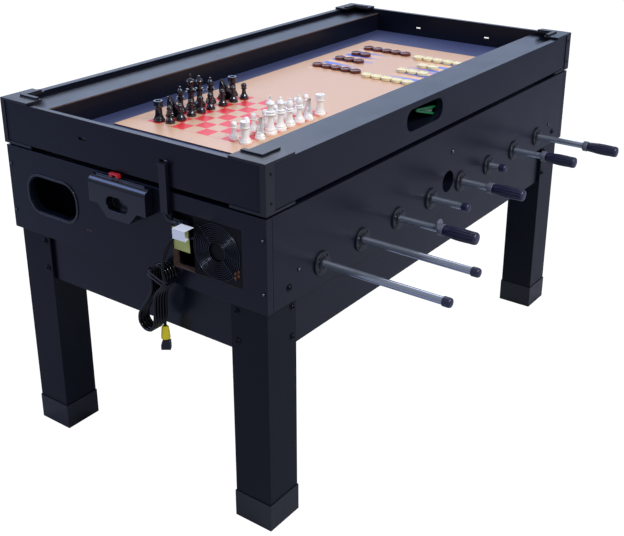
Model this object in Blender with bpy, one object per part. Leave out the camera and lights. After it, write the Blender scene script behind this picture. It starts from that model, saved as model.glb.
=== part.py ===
"""Multi game table: a football cabinet on four legs, with a lift-off upper frame and a game board.

Metres, +Z up. The origin is on the floor under the middle of the table, X runs along its length,
the end with the fan is at -X, and the side with the serve hole is at -Y.
"""
import math

import bmesh
import bpy
from mathutils import Matrix, Vector

for old in list(bpy.data.objects):
    bpy.data.objects.remove(old, do_unlink=True)

# Fits shared by every piece
GAP = 0.0003                # between faces that touch
CUT = 0.010                 # how far a cutter runs past a face
WELD = 0.00001              # closes the poles of turned shapes
ALONG_Y = Matrix.Rotation(-math.pi / 2, 4, "X")
ALONG_X = Matrix.Rotation(math.pi / 2, 4, "Y")

# Lower cabinet
CABINET_L = 1.348
CABINET_W = 0.7335
CABINET_BOTTOM = 0.510
CABINET_H = 0.196
PANEL_T = 0.018

# Legs and their boots
LEG_SIDE = 0.0915
LEG_INSET = 0.010
BOOT_H = 0.063
BOOT_WALL = 0.0015
BOOT_BASE = 0.004

# Apron boards, whose upper part is the field's side wall
APRON_T = 0.015
APRON_DROP = 0.111          # below the cabinet
SIDE_APRON_RISE = 0.130     # above the cabinet's lower edge
END_APRON_RISE = 0.020

# Football rods
ROD_R = 0.008
ROD_RISE = 0.046            # above the cabinet's lower edge
ROD_END_IN = 0.1721         # first rod, from the cabinet's end
ROD_FIT = 0.0007            # between a rod and what it runs in
BUSHING_FLANGE_R = 0.025
BUSHING_FLANGE_T = 0.004
BUSHING_NOSE_R = 0.0135
BUSHING_NOSE_L = 0.003
BUSHING_NUT_R = 0.0165
BUSHING_INSIDE = 0.004
ROUND_SIDES = 12

# Grips, caps and stop rings
GRIP_L = 0.092
GRIP_R = 0.0145
GRIP_NECK_R = 0.0115
GRIP_COLLAR_R = 0.0135
GRIP_COLLAR_L = 0.012
GRIP_ROUND = 0.005
GRIP_CLEAR = 0.015          # left to the panel when the rod is pushed right in
TAB_ROD = 3                 # whose grip collar has an ear
TAB_REACH = 0.010
TAB_T = 0.005
CAP_R = 0.0100
CAP_L = 0.018
CAP_ROUND = 0.0025
BARE_LEAST = 0.030          # what a bare end shows when the rod is pulled right out
STOP_R = 0.0125
STOP_T = 0.012
TRAVEL_WIDE = 0.134         # with one or two men
TRAVEL_THREE = 0.104
TRAVEL_FIVE = 0.071
MAN_CLEAR = 0.0010

# Men on the rods
MAN_T = 0.024
MAN_FOOT = 0.070            # from the rod's axis down to the foot
MAN_HEAD = 0.036
MAN_HALF_W = 0.0125
FOOT_HALF_W = 0.0075
TWO_MEN_SHARE = 0.705       # of the furthest that two men could stand from the middle
FIELD_CLEAR = 0.006         # under a foot

# Playfield and its end boards
PLAYFIELD_T = 0.008
END_BOARD_IN = 0.084        # from the cabinet's end
END_BOARD_T = 0.012
GOAL_HALF_W = 0.085
GOAL_H = 0.070

# Serve hole
SERVE_R = 0.026
SERVE_X = 0.008
SERVE_RISE = 0.0645
SERVE_SIDES = 20

# Oval hand holes in the end panels
OVAL_IN = 0.13975           # its middle, from the cabinet's side
OVAL_RISE = 0.099
OVAL_HALF_L = 0.075
OVAL_HALF_H = 0.041
OVAL_CORNER = 0.036
CORNER_STEPS = 4

# Cut-out for the fan
VENT_IN = 0.06075           # from the cabinet's front
VENT_L = 0.177
VENT_RISE = 0.039

# End boxes and their score sliders
BOX_L = 0.162
BOX_RISE = 0.111            # from the cabinet's lower edge to the bulge's
BOX_H = 0.082
BOX_D = 0.023
BOX_ROUND = 0.016
BOX_END_RISE = 0.026        # from the bulge's lower edge to the ends'
BOX_BULGE_HALF_L = 0.032
BOX_BULGE_SLOPE = 0.024
BOX_HOLE_HALF_L = 0.0315
BOX_HOLE_HALF_H = 0.0155
BOX_HOLE_RISE = 0.034
BOX_HOLE_DEPTH = 0.018
BOX_SIDES = 6
RIDGE_T = 0.004
RIDGE_H = 0.004
RIDGE_OUT = 0.008
RIDGE_MARGIN = 0.012
SLIDER_L = 0.026
SLIDER_H = 0.0085
SLIDER_D = 0.009
SLIDER_SLOT = 0.011
SLIDER_SLOT_H = 0.0045
SLIDER_Y = 0.0150

# Upper frame
CAP_FOOT_H = 0.0050         # ribs that stand on the cabinet
FLANGE_T = 0.0055
RAIL_H = 0.0904
SIDE_RAIL_T = 0.018
END_RAIL_T = 0.012
FLOOR_RISE = 0.0197         # from the rails' lower edge to the floor's underside
FLOOR_T = 0.006
WELL_HALF_W = 0.258
WELL_WALL_T = 0.012
LEDGE_DROP = 0.011
LEDGE_T = 0.003
HAND_X0 = -0.190
HAND_X1 = -0.036
HAND_RISE = 0.0262
HAND_H = 0.050
HAND_CORNER = 0.022
SLOT_Y = 0.115
SLOT_RISE = 0.049
SLOT_HALF_L = 0.010
SLOT_HALF_H = 0.003

# Corner caps
CAP_ARM_L = 0.086
CAP_ARM_W = 0.040
CAP_PROUD = 0.0020
CAP_RIB_H = 0.0045
CAP_RIB_OUT = 0.028
CAP_RIB_W = 0.010
CAP_FOOT_OUT = 0.005
CAP_FOOT_W = 0.012
CAP_STRIP_END = 0.011
CAP_STRIP_SIDE = 0.024

# Game board and men
BOARD_L = 1.030
BOARD_W = 0.384
BOARD_T = 0.003
SQUARE = 0.0360
CHESS_IN = 0.200            # middle of the chessboard, from the board's end
PAWN_H = 0.039
PAWN_R = 0.0128
CHESS_SIDES = 7
CHECKER_R = 0.0147
CHECKER_T = 0.0080
CHECKER_PITCH = 0.0305
CHECKER_SIDES = 8
POINT_PITCH = 0.0243
POINTS_IN = 0.365           # first point, from the board's other end
POINTS_BAR = 0.024
POINTS_BEFORE_BAR = 6
BROWN_X, BROWN_Y = 0.007, 0.131     # shift along X, and the outermost checker's place
CREAM_X, CREAM_Y = -0.007, -0.169
# Column, how many, and how far a brown and a cream row start inwards, in checker pitches
CHECKER_ROW_SHARES = ((0, 5, 0.0, 0.36), (4, 3, 0.20, 0.79), (6, 2, 0.36, 1.15),
                      (9, 5, 0.16, 0.0))

# Fan
FAN_SIDE = 0.120
FAN_T = 0.025
FAN_BORE_R = 0.0565
FAN_HUB_R = 0.020
FAN_BLADE_R = 0.054
FAN_BLADES = 7
FAN_HUB_L = 0.017
FAN_BLADE_T = 0.0022
FAN_BLADE_TWIST = math.radians(32)
FAN_MOTOR_T = 0.004
FAN_STRUT_W = 0.006
FAN_SIDES = 24
GUARD_R = 0.059
GUARD_T = 0.0016
GUARD_WIRE = 0.0022
GUARD_RINGS = 5
GUARD_HUB_R = 0.010
GUARD_SIDES = 16
GUARD_SPOKES = 4

# Power box, cable cover and link cable
POWER_IN = 0.1335           # from the cut-out's front end
POWER_L = 0.0415
POWER_RISE = 0.108
POWER_H = 0.034
POWER_OUT = 0.002           # behind the panel's face
POWER_D = 0.030
PLATE_T = 0.0017
PLATE_L = 0.0805
PLATE_RISE = 0.098
PLATE_H = 0.072
GLAND_R = 0.0058
GLAND_L = 0.0040
NUT_R = 0.0062
NUT_L = 0.012
NUT_IN = 0.136              # from the cut-out's front end
LINK_D = 0.0070
LINK_OUT = 0.0075           # the link cable's middle, outside the panel
LINK_RISE = 0.1385
COVER_IN = 0.1865           # its middle, from the cut-out's front end
COVER_W = 0.019
COVER_D = 0.0095
COVER_OFF = 0.0010
COVER_RISE = 0.1515
COVER_L = 0.103
COVER_LIP = 0.0015
COVER_LIP_H = 0.005
COVER_FOOT_H = 0.040

# Power cord
CORD_D = 0.0070
CORD_EXIT_IN = 0.143        # from the cut-out's front end
CORD_EXIT_RISE = 0.124
HANK_LOOPS = 4
HANK_POINTS = 24
HANK_L = 0.160
HANK_LEAN = math.radians(19.6)
HANK_END_HALF_W = 0.0215
HANK_WAIST_HALF_W = 0.0075
HANK_WAIST_SHARE = 0.38     # of the straight stretch, from the top
HANK_STEP = 0.0078
HANK_OUT = 0.0445           # the outermost loop, outside the panel
HANK_TOP_IN = 0.175         # from the cut-out's front end
HANK_TOP_RISE = 0.050
THIRDS = 3                  # points in a diameter, where the hank's gap is measured
NEIGHBOURS = 12             # points along the cord that it doesn't measure to
TAIL_L = 0.010
TAIL_POINTS = 5
SLEEVE_L = 0.030            # straight end of the tail, which a sleeve wraps
PLUG_H = 0.022
PLUG_W = 0.020
PLUG_D = 0.014
PLUG_TURN = math.radians(36)   # its prongs point in under the table
PLUG_TOP_SHARE = 0.62
PRONG_DOWN_SHARE = 2 / 3
PRONG_L = 0.016
PRONG_W = 0.0064
PRONG_T = 0.0015
PRONG_SPACING = 0.0127

# Places that follow from the sizes above
HALF_L = CABINET_L / 2
HALF_W = CABINET_W / 2
CABINET_TOP = CABINET_BOTTOM + CABINET_H
APRON_INSET = PANEL_T + GAP
APRON_BOTTOM = CABINET_BOTTOM - APRON_DROP
FIELD_HALF_W = HALF_W - APRON_INSET - APRON_T
FIELD_HALF_L = HALF_L - APRON_INSET - APRON_T
SIDE_APRON_TOP = CABINET_BOTTOM + SIDE_APRON_RISE
ROD_Z = CABINET_BOTTOM + ROD_RISE
FIELD_Z = ROD_Z - MAN_FOOT - FIELD_CLEAR
BUSHING_OUT = BUSHING_FLANGE_T + BUSHING_NOSE_L
STOP_WALL = FIELD_HALF_W - BUSHING_INSIDE - GAP
TRAVEL = {1: TRAVEL_WIDE, 2: TRAVEL_WIDE, 3: TRAVEL_THREE, 5: TRAVEL_FIVE}
END_BOARD_X = HALF_L - END_BOARD_IN
OVAL_Y = HALF_W - OVAL_IN
VENT_Y0 = -HALF_W + VENT_IN
VENT_Y1 = VENT_Y0 + VENT_L
VENT_Z0 = CABINET_BOTTOM + VENT_RISE
VENT_Z1 = VENT_Z0 + FAN_SIDE + 2 * GAP
FAN_Y = VENT_Y0 + GAP + FAN_SIDE / 2
FAN_Z = VENT_Z0 + GAP + FAN_SIDE / 2
POWER_Y0 = VENT_Y0 + POWER_IN
POWER_Y1 = POWER_Y0 + POWER_L
PLATE_Y1 = POWER_Y0 + PLATE_L
NUT_Y = VENT_Y0 + NUT_IN
COVER_Y = VENT_Y0 + COVER_IN
BOX_HALF_L = BOX_L / 2
CORD_EXIT_Y = VENT_Y0 + CORD_EXIT_IN
HANK_TOP_Y = VENT_Y0 + HANK_TOP_IN
CHESS_X = -BOARD_L / 2 + CHESS_IN
POINTS_X = BOARD_L / 2 - POINTS_IN
RAIL_Z = CABINET_TOP + GAP + CAP_FOOT_H + FLANGE_T + GAP
FLOOR_TOP = RAIL_Z + FLOOR_RISE + FLOOR_T
BOARD_TOP = FLOOR_TOP + GAP + BOARD_T
WELL_HALF_L = HALF_L - END_RAIL_T
FAN_X = -HALF_L
GUARD_X = FAN_X - GAP - GUARD_T

# Corners: side along X, side along Y, and the turn of what is modelled at the near front one
CORNERS = {
    "near_front": (-1, -1, 0),
    "far_front": (1, -1, math.pi / 2),
    "far_back": (1, 1, math.pi),
    "near_back": (-1, 1, -math.pi / 2),
}

# Each rod from the near end: men on it, side of its grip (-1 is the front), and how far it stands
# towards the front at rest, as a share of its travel
ROD_SHARES = (
    (1, 1, 0.970),
    (2, 1, 0.843),
    (3, -1, -0.144),
    (5, 1, 0.0),
    (5, -1, -0.155),
    (3, 1, -0.798),
    (2, -1, -0.507),
    (1, -1, -0.100),
)

# Materials: colour, roughness, metallic
FINISHES = {
    "black_laminate": ((0.020, 0.020, 0.026), 0.45, 0.0),
    "black_plastic": ((0.012, 0.012, 0.014), 0.35, 0.0),
    "chrome_steel": ((0.80, 0.80, 0.82), 0.15, 1.0),
    "field_green": ((0.03, 0.20, 0.07), 0.5, 0.0),
    "red_plastic": ((0.75, 0.02, 0.03), 0.3, 0.0),
    "printed_board": ((0.72, 0.50, 0.36), 0.4, 0.0),
    "cord_rubber": ((0.010, 0.010, 0.011), 0.4, 0.0),
}


def material(name):
    """The named finish as a Principled material."""
    made = bpy.data.materials.get(name)
    if made:
        return made
    colour, roughness, metallic = FINISHES[name]
    made = bpy.data.materials.new(name)
    made.use_nodes = True
    shader = made.node_tree.nodes["Principled BSDF"]
    shader.inputs["Base Color"].default_value = (*colour, 1.0)
    shader.inputs["Roughness"].default_value = roughness
    shader.inputs["Metallic"].default_value = metallic
    return made


def keep(name, shape, finish, smooth=False, place=(0, 0, 0), parent=None):
    """Turns a bmesh into a named object, with its faces pointing out."""
    bmesh.ops.recalc_face_normals(shape, faces=shape.faces)
    mesh = bpy.data.meshes.new(name)
    shape.to_mesh(mesh)
    shape.free()
    if smooth:
        mesh.shade_smooth()
        mesh.set_sharp_from_angle(angle=math.radians(35))
    made = bpy.data.objects.new(name, mesh)
    bpy.context.scene.collection.objects.link(made)
    made.data.materials.append(material(finish))
    made.location = place
    made.parent = parent
    return made


def seat(name, place, turn=0.0):
    """An empty that carries pieces, turned about Z."""
    made = bpy.data.objects.new(name, None)
    bpy.context.scene.collection.objects.link(made)
    made.location = place
    made.rotation_euler = (0, 0, turn)
    return made


def cutter(name, shape, parent=None):
    """A hidden helper for a Boolean."""
    bmesh.ops.recalc_face_normals(shape, faces=shape.faces)
    mesh = bpy.data.meshes.new(name)
    shape.to_mesh(mesh)
    shape.free()
    made = bpy.data.objects.new(name, mesh)
    bpy.context.scene.collection.objects.link(made)
    made.hide_render = True
    made.hide_set(True)
    made.display_type = "WIRE"
    made.parent = parent
    return made


def combine(target, other, operation):
    """Cuts other from target, or joins it."""
    step = target.modifiers.new(operation.lower(), "BOOLEAN")
    step.operation = operation
    step.solver = "EXACT"
    step.object = other
    return target


def block(shape, x, y, z):
    """Adds a box between the two values of each pair."""
    size = Vector((x[1] - x[0], y[1] - y[0], z[1] - z[0]))
    middle = Vector((x[0] + x[1], y[0] + y[1], z[0] + z[1])) / 2
    place = Matrix.Translation(middle) @ Matrix.Diagonal((*size, 1))
    bmesh.ops.create_cube(shape, size=1, matrix=place)


def blocks(*boxes):
    """A new bmesh of separate boxes."""
    shape = bmesh.new()
    for x, y, z in boxes:
        block(shape, x, y, z)
    return shape


def both(low, high):
    """The pair mirrored to the other side of zero."""
    return (-high, -low)


def prism(shape, outline, axis, low, high):
    """Extrudes an outline, given in the two other axes in order, along one axis."""
    def point(u, v, w):
        return {"x": (w, u, v), "y": (u, w, v), "z": (u, v, w)}[axis]
    start = [shape.verts.new(point(u, v, low)) for u, v in outline]
    face = shape.faces.new(start)
    grown = bmesh.ops.extrude_face_region(shape, geom=[face])["geom"]
    moved = [part for part in grown if isinstance(part, bmesh.types.BMVert)]
    bmesh.ops.translate(shape, verts=moved, vec=Vector(point(0, 0, high - low)))


def turned(shape, profile, sides, place=Matrix(), ring=False):
    """Spins a profile of (radius, height) about Z; a ring's profile closes on itself."""
    points = [shape.verts.new((radius, 0, height)) for radius, height in profile]
    pairs = list(zip(points, points[1:]))
    if ring:
        pairs.append((points[-1], points[0]))
    edges = [shape.edges.new(pair) for pair in pairs]
    swept = bmesh.ops.spin(shape, geom=points + edges, axis=(0, 0, 1), cent=(0, 0, 0),
                           angle=math.tau, steps=sides, use_merge=True)
    linked = set(points)
    reach = list(points)
    while reach:
        for edge in reach.pop().link_edges:
            for corner in edge.verts:
                if corner not in linked:
                    linked.add(corner)
                    reach.append(corner)
    bmesh.ops.remove_doubles(shape, verts=list(linked), dist=WELD)
    solid = [corner for corner in linked if corner.is_valid]
    bmesh.ops.transform(shape, matrix=place, verts=solid)
    return swept


def at(x, y, z):
    """A move as a matrix."""
    return Matrix.Translation((x, y, z))


def rounded(u, v, half_u, half_v, corner):
    """Outline of a rectangle with round corners."""
    points = []
    for turn, (side_u, side_v) in enumerate(((1, 1), (-1, 1), (-1, -1), (1, -1))):
        for step in range(CORNER_STEPS + 1):
            angle = math.pi / 2 * (turn + step / CORNER_STEPS)
            points.append((u + side_u * (half_u - corner) + corner * math.cos(angle),
                           v + side_v * (half_v - corner) + corner * math.sin(angle)))
    return points


def rods():
    """Each rod's number, men, grip side, place along X and shift along Y."""
    first = -HALF_L + ROD_END_IN
    pitch = -2 * first / (len(ROD_SHARES) - 1)
    for index, (men, side, share) in enumerate(ROD_SHARES):
        yield index + 1, men, side, first + index * pitch, -share * TRAVEL[men]


def make_legs():
    """Square posts, cut back at the top to two outer boards round the apron box, and their boots."""
    board = APRON_INSET - GAP - LEG_INSET
    wall = BOOT_WALL + GAP
    post = (0, LEG_SIDE)
    cut_back = (board, LEG_SIDE + CUT)
    for corner, (side_x, side_y, turn) in CORNERS.items():
        place = (side_x * (HALF_L - LEG_INSET), side_y * (HALF_W - LEG_INSET), 0)
        carrier = seat(f"{corner}_leg_seat", place, turn)
        leg = keep(f"{corner}_leg", blocks((post, post, (BOOT_BASE + GAP, CABINET_BOTTOM - GAP))),
                   "black_laminate", parent=carrier)
        notch = blocks((cut_back, cut_back, (APRON_BOTTOM - GAP, CABINET_BOTTOM + CUT)))
        combine(leg, cutter(f"{corner}_leg_notch", notch, carrier), "DIFFERENCE")
        outer = (-wall, LEG_SIDE + wall)
        boot = keep(f"{corner}_boot", blocks((outer, outer, (0, BOOT_H))), "black_plastic",
                    parent=carrier)
        inner = (-GAP, LEG_SIDE + GAP)
        hollow = blocks((inner, inner, (BOOT_BASE, BOOT_H + CUT)))
        combine(boot, cutter(f"{corner}_boot_hollow", hollow, carrier), "DIFFERENCE")


def along_rods(side, profile):
    """One turned shape on each rod's axis, through the long side that is given."""
    shape = bmesh.new()
    turn = ALONG_Y if side > 0 else ALONG_Y.inverted()
    for _, _, _, x, _ in rods():
        turned(shape, profile, ROUND_SIDES, at(x, 0, ROD_Z) @ turn)
    return shape


def rod_bores(side):
    """What the rods run in, from inside the field to outside the flanges."""
    low, high = FIELD_HALF_W - BUSHING_INSIDE - CUT, HALF_W + BUSHING_OUT + CUT
    radius = ROD_R + ROD_FIT
    return along_rods(side, ((0, low), (radius, low), (radius, high), (0, high)))


def serve_hole(low, high):
    """Round hole for the ball, through the front only."""
    shape = bmesh.new()
    place = at(SERVE_X, 0, CABINET_BOTTOM + SERVE_RISE) @ ALONG_Y.inverted()
    turned(shape, ((0, low), (SERVE_R, low), (SERVE_R, high), (0, high)), SERVE_SIDES, place)
    return shape


def make_aprons():
    """Four boards: the long ones rise inside the cabinet as the field's side walls."""
    end_x = (FIELD_HALF_L, HALF_L - APRON_INSET)
    side_x = (-end_x[1], end_x[1])
    end_y = (-FIELD_HALF_W + GAP, FIELD_HALF_W - GAP)
    low, high = FIELD_HALF_W, HALF_W - APRON_INSET
    for name, side in (("front", -1), ("back", 1)):
        y = (low, high) if side > 0 else both(low, high)
        apron = keep(f"{name}_apron", blocks((side_x, y, (APRON_BOTTOM, SIDE_APRON_TOP))),
                     "black_laminate")
        nut = ((0, low - BUSHING_INSIDE), (BUSHING_NUT_R, low - BUSHING_INSIDE),
               (BUSHING_NUT_R, low + APRON_T / 2), (0, low + APRON_T / 2))
        combine(apron, cutter(f"{name}_bushing_nuts", along_rods(side, nut)), "UNION")
        combine(apron, cutter(f"{name}_apron_bores", rod_bores(side)), "DIFFERENCE")
        if side < 0:
            hole = serve_hole(low - CUT, high + CUT)
            combine(apron, cutter("apron_serve_hole", hole), "DIFFERENCE")
    z = (APRON_BOTTOM, CABINET_BOTTOM + END_APRON_RISE)
    keep("near_apron", blocks((both(*end_x), end_y, z)), "black_laminate")
    keep("far_apron", blocks((end_x, end_y, z)), "black_laminate")


def make_cabinet():
    """Front and back panels, with the bushings' flanges, between the two full-width end panels."""
    z = (CABINET_BOTTOM, CABINET_TOP)
    side_x = (-HALF_L + PANEL_T + GAP, HALF_L - PANEL_T - GAP)
    flange = ((0, HALF_W - PANEL_T / 2), (BUSHING_FLANGE_R, HALF_W - PANEL_T / 2),
              (BUSHING_FLANGE_R, HALF_W + BUSHING_FLANGE_T),
              (BUSHING_NOSE_R, HALF_W + BUSHING_FLANGE_T),
              (BUSHING_NOSE_R, HALF_W + BUSHING_OUT), (0, HALF_W + BUSHING_OUT))
    for name, side in (("front", -1), ("back", 1)):
        low, high = HALF_W - PANEL_T, HALF_W
        y = (low, high) if side > 0 else both(low, high)
        panel = keep(f"cabinet_{name}_panel", blocks((side_x, y, z)), "black_laminate")
        combine(panel, cutter(f"{name}_flanges", along_rods(side, flange)), "UNION")
        combine(panel, cutter(f"{name}_panel_bores", rod_bores(side)), "DIFFERENCE")
        if side < 0:
            hole = serve_hole(low - CUT, high + CUT)
            combine(panel, cutter("panel_serve_hole", hole), "DIFFERENCE")
    for name, side in (("near", -1), ("far", 1)):
        x = tuple(sorted((side * HALF_L, side * (HALF_L - PANEL_T))))
        panel = keep(f"cabinet_{name}_panel", blocks((x, (-HALF_W, HALF_W), z)), "black_laminate")
        holes = bmesh.new()
        outline = rounded(-side * OVAL_Y, CABINET_BOTTOM + OVAL_RISE, OVAL_HALF_L, OVAL_HALF_H,
                          OVAL_CORNER)
        prism(holes, outline, "x", x[0] - CUT, x[1] + CUT)
        if side < 0:
            block(holes, (x[0] - CUT, x[1] + CUT), (VENT_Y0, VENT_Y1), (VENT_Z0, VENT_Z1))
        combine(panel, cutter(f"{name}_panel_holes", holes), "DIFFERENCE")


def make_field():
    """Playfield, and end boards with a goal mouth."""
    inner_l, inner_w = FIELD_HALF_L - GAP, FIELD_HALF_W - GAP
    keep("playfield", blocks(((-inner_l, inner_l), (-inner_w, inner_w),
                              (FIELD_Z - PLAYFIELD_T, FIELD_Z))), "field_green")
    foot = FIELD_Z + GAP
    outline = ((-inner_w, foot), (-GOAL_HALF_W, foot), (-GOAL_HALF_W, foot + GOAL_H),
               (GOAL_HALF_W, foot + GOAL_H), (GOAL_HALF_W, foot), (inner_w, foot),
               (inner_w, SIDE_APRON_TOP), (-inner_w, SIDE_APRON_TOP))
    board = (END_BOARD_X, END_BOARD_X + END_BOARD_T)
    for name, x in (("near", both(*board)), ("far", board)):
        shape = bmesh.new()
        prism(shape, outline, "x", *x)
        keep(f"{name}_field_end_board", shape, "black_laminate")


def man(shape, y):
    """A player: a plate round the rod, with a head above and a foot below."""
    head, foot, hub = MAN_HEAD, -MAN_FOOT, MAN_HALF_W
    outline = ((hub, -hub), (hub, hub), (hub / 2, head), (-hub / 2, head), (-hub, hub),
               (-hub, -hub), (-FOOT_HALF_W, foot), (FOOT_HALF_W, foot))
    prism(shape, outline, "y", y - MAN_T / 2, y + MAN_T / 2)


def men_places(men):
    """Where the men stand along their rod, from its middle."""
    if men == 1:
        return (0.0,)
    reach = STOP_WALL - TRAVEL[men] - STOP_T - MAN_CLEAR - MAN_T / 2
    if men == 2:
        return (-reach * TWO_MEN_SHARE, reach * TWO_MEN_SHARE)
    step = 2 * reach / (men - 1)
    return tuple(-reach + index * step for index in range(men))


def make_rods():
    """A rod turns with its men, grip, cap and one stop ring; its other stop ring only slides."""
    for number, men, side, x, shift in rods():
        carrier = seat(f"rod_{number}_seat", (x, shift, ROD_Z), 0.0 if side > 0 else math.pi)
        tip = HALF_W + TRAVEL[men] + GRIP_CLEAR + GRIP_L
        root, neck = tip - GRIP_L, tip - GRIP_L + GRIP_COLLAR_L
        bare = -(HALF_W + TRAVEL[men] + BARE_LEAST)
        stop = STOP_WALL - TRAVEL[men]
        profile = ((0, bare), (CAP_R - CAP_ROUND, bare), (CAP_R, bare + CAP_ROUND),
                   (CAP_R, bare + CAP_L), (ROD_R, bare + CAP_L), (ROD_R, stop - STOP_T),
                   (STOP_R, stop - STOP_T), (STOP_R, stop), (ROD_R, stop), (ROD_R, root),
                   (GRIP_COLLAR_R, root), (GRIP_COLLAR_R, neck), (GRIP_NECK_R, neck + GRIP_ROUND),
                   (GRIP_R, root + GRIP_L / 2), (GRIP_R, tip - GRIP_ROUND), (GRIP_NECK_R, tip),
                   (0, tip))
        shape = bmesh.new()
        turned(shape, profile, ROUND_SIDES, ALONG_Y)
        rod = keep(f"rod_{number}", shape, "chrome_steel", smooth=True, parent=carrier)
        team = bmesh.new()
        for place in men_places(men):
            man(team, place)
        combine(rod, cutter(f"rod_{number}_men", team, carrier), "UNION")
        if number == TAB_ROD:
            tab = blocks(((-TAB_T / 2, TAB_T / 2), (root + TAB_T / 2, neck - TAB_T / 2),
                          (ROD_R, GRIP_COLLAR_R + TAB_REACH)))
            combine(rod, cutter("grip_tab", tab, carrier), "UNION")
        bore = ROD_R + ROD_FIT
        shape = bmesh.new()
        turned(shape, ((bore, -stop), (STOP_R, -stop), (STOP_R, STOP_T - stop),
                       (bore, STOP_T - stop)), ROUND_SIDES, ALONG_Y, ring=True)
        keep(f"rod_{number}_stop_ring", shape, "black_plastic", smooth=True, parent=carrier)


def make_end_boxes():
    """A box with a rounded top and a ball hole on each end, and its score slider."""
    for name, side in (("near", -1), ("far", 1)):
        back = HALF_L + GAP
        bottom = CABINET_BOTTOM + BOX_RISE
        top = bottom + BOX_H
        out = back + BOX_D
        outline = [(back, bottom), (out, bottom)]
        for step in range(BOX_SIDES + 1):
            angle = math.pi / 2 * step / BOX_SIDES
            outline.append((out - BOX_ROUND + BOX_ROUND * math.cos(angle),
                            top - BOX_ROUND + BOX_ROUND * math.sin(angle)))
        outline.append((back, top))
        shape = bmesh.new()
        prism(shape, [(side * x, z) for x, z in outline], "y", -BOX_HALF_L, BOX_HALF_L)
        box = keep(f"goal_box_{name}", shape, "black_plastic", smooth=True)
        ends = bmesh.new()
        for hand in (-1, 1):
            foot = BOX_BULGE_HALF_L
            outline = [(hand * foot, bottom - CUT), (hand * foot, bottom),
                       (hand * (foot + BOX_BULGE_SLOPE), bottom + BOX_END_RISE),
                       (hand * (BOX_HALF_L + CUT), bottom + BOX_END_RISE),
                       (hand * (BOX_HALF_L + CUT), bottom - CUT)]
            prism(ends, outline[::-hand], "x", *sorted((side * (back - CUT), side * (out + CUT))))
        combine(box, cutter(f"box_ends_{name}", ends), "DIFFERENCE")
        ridge_x = back + RIDGE_OUT
        ridge = blocks((tuple(sorted((side * (ridge_x - RIDGE_T / 2),
                                      side * (ridge_x + RIDGE_T / 2)))),
                        (-BOX_HALF_L + RIDGE_MARGIN, BOX_HALF_L - RIDGE_MARGIN),
                        (top - RIDGE_H, top + RIDGE_H)))
        combine(box, cutter(f"box_ridge_{name}", ridge), "UNION")
        hole = bmesh.new()
        oval = rounded(0, bottom + BOX_HOLE_RISE, BOX_HOLE_HALF_L, BOX_HOLE_HALF_H,
                       BOX_HOLE_HALF_H)
        low, high = sorted((side * (out - BOX_HOLE_DEPTH), side * (out + CUT)))
        prism(hole, oval, "x", low, high)
        combine(box, cutter(f"box_hole_{name}", hole), "DIFFERENCE")
        foot = RIDGE_H + GAP
        outline = ((-SLIDER_L / 2, 0), (-SLIDER_SLOT / 2, 0), (-SLIDER_SLOT / 2, SLIDER_SLOT_H),
                   (SLIDER_SLOT / 2, SLIDER_SLOT_H), (SLIDER_SLOT / 2, 0), (SLIDER_L / 2, 0),
                   (SLIDER_L / 2, SLIDER_H), (-SLIDER_L / 2, SLIDER_H))
        shape = bmesh.new()
        prism(shape, outline, "x", -SLIDER_D / 2, SLIDER_D / 2)
        keep(f"score_slider_{name}", shape, "red_plastic",
             place=(side * ridge_x, -side * SLIDER_Y, top + foot))


def make_upper_frame():
    """Rails, floor and ledges, all carried by one seat that lifts off the cabinet."""
    carrier = seat("upper_frame_seat", (0, 0, RAIL_Z))
    side_x = (-HALF_L, HALF_L)
    z = (0, RAIL_H)
    front_y = (-HALF_W, -HALF_W + SIDE_RAIL_T)
    front = keep("upper_front_rail", blocks((side_x, front_y, z)), "black_laminate",
                 parent=carrier)
    hole = bmesh.new()
    outline = rounded((HAND_X0 + HAND_X1) / 2, HAND_RISE + HAND_H / 2, (HAND_X1 - HAND_X0) / 2,
                      HAND_H / 2, HAND_CORNER)
    prism(hole, outline, "y", front_y[0] - CUT, front_y[1] + CUT)
    combine(front, cutter("hand_hole", hole, carrier), "DIFFERENCE")
    keep("upper_back_rail", blocks((side_x, both(*front_y), z)), "black_laminate",
         parent=carrier)
    inner_w = HALF_W - SIDE_RAIL_T - GAP
    end_x = (WELL_HALF_L, HALF_L)
    for name, x in (("near", both(*end_x)), ("far", end_x)):
        rail = keep(f"upper_{name}_rail", blocks((x, (-inner_w, inner_w), z)), "black_laminate",
                    parent=carrier)
        slots = bmesh.new()
        for middle in (-SLOT_Y, SLOT_Y):
            block(slots, (x[0] - CUT, x[1] + CUT), (middle - SLOT_HALF_L, middle + SLOT_HALF_L),
                  (SLOT_RISE - SLOT_HALF_H, SLOT_RISE + SLOT_HALF_H))
        combine(rail, cutter(f"{name}_rail_slots", slots, carrier), "DIFFERENCE")
    x = (-WELL_HALF_L + GAP, WELL_HALF_L - GAP)
    keep("upper_floor", blocks((x, (-inner_w, inner_w), (FLOOR_RISE, FLOOR_RISE + FLOOR_T))),
         "black_laminate", parent=carrier)
    foot, top = FLOOR_RISE + FLOOR_T + GAP, RAIL_H - LEDGE_DROP
    wall = WELL_HALF_W + WELL_WALL_T
    outline = ((WELL_HALF_W, foot), (wall, foot), (wall, top - LEDGE_T), (inner_w, top - LEDGE_T),
               (inner_w, top), (WELL_HALF_W, top))
    for name, side in (("front", -1), ("back", 1)):
        shape = bmesh.new()
        prism(shape, [(side * y, rise) for y, rise in outline], "x", *x)
        keep(f"{name}_ledge", shape, "black_laminate", parent=carrier)
    make_caps(carrier)


def corner_plate(shape, side_x, side_y, outer, inner, length, z):
    """An L-shaped plate at one corner: distances are from the frame's outer faces."""
    arm = ((outer, outer), (length, outer), (length, inner), (inner, inner), (inner, length),
           (outer, length))
    prism(shape, corner_outline(side_x, side_y, arm), "z", *z)


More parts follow.
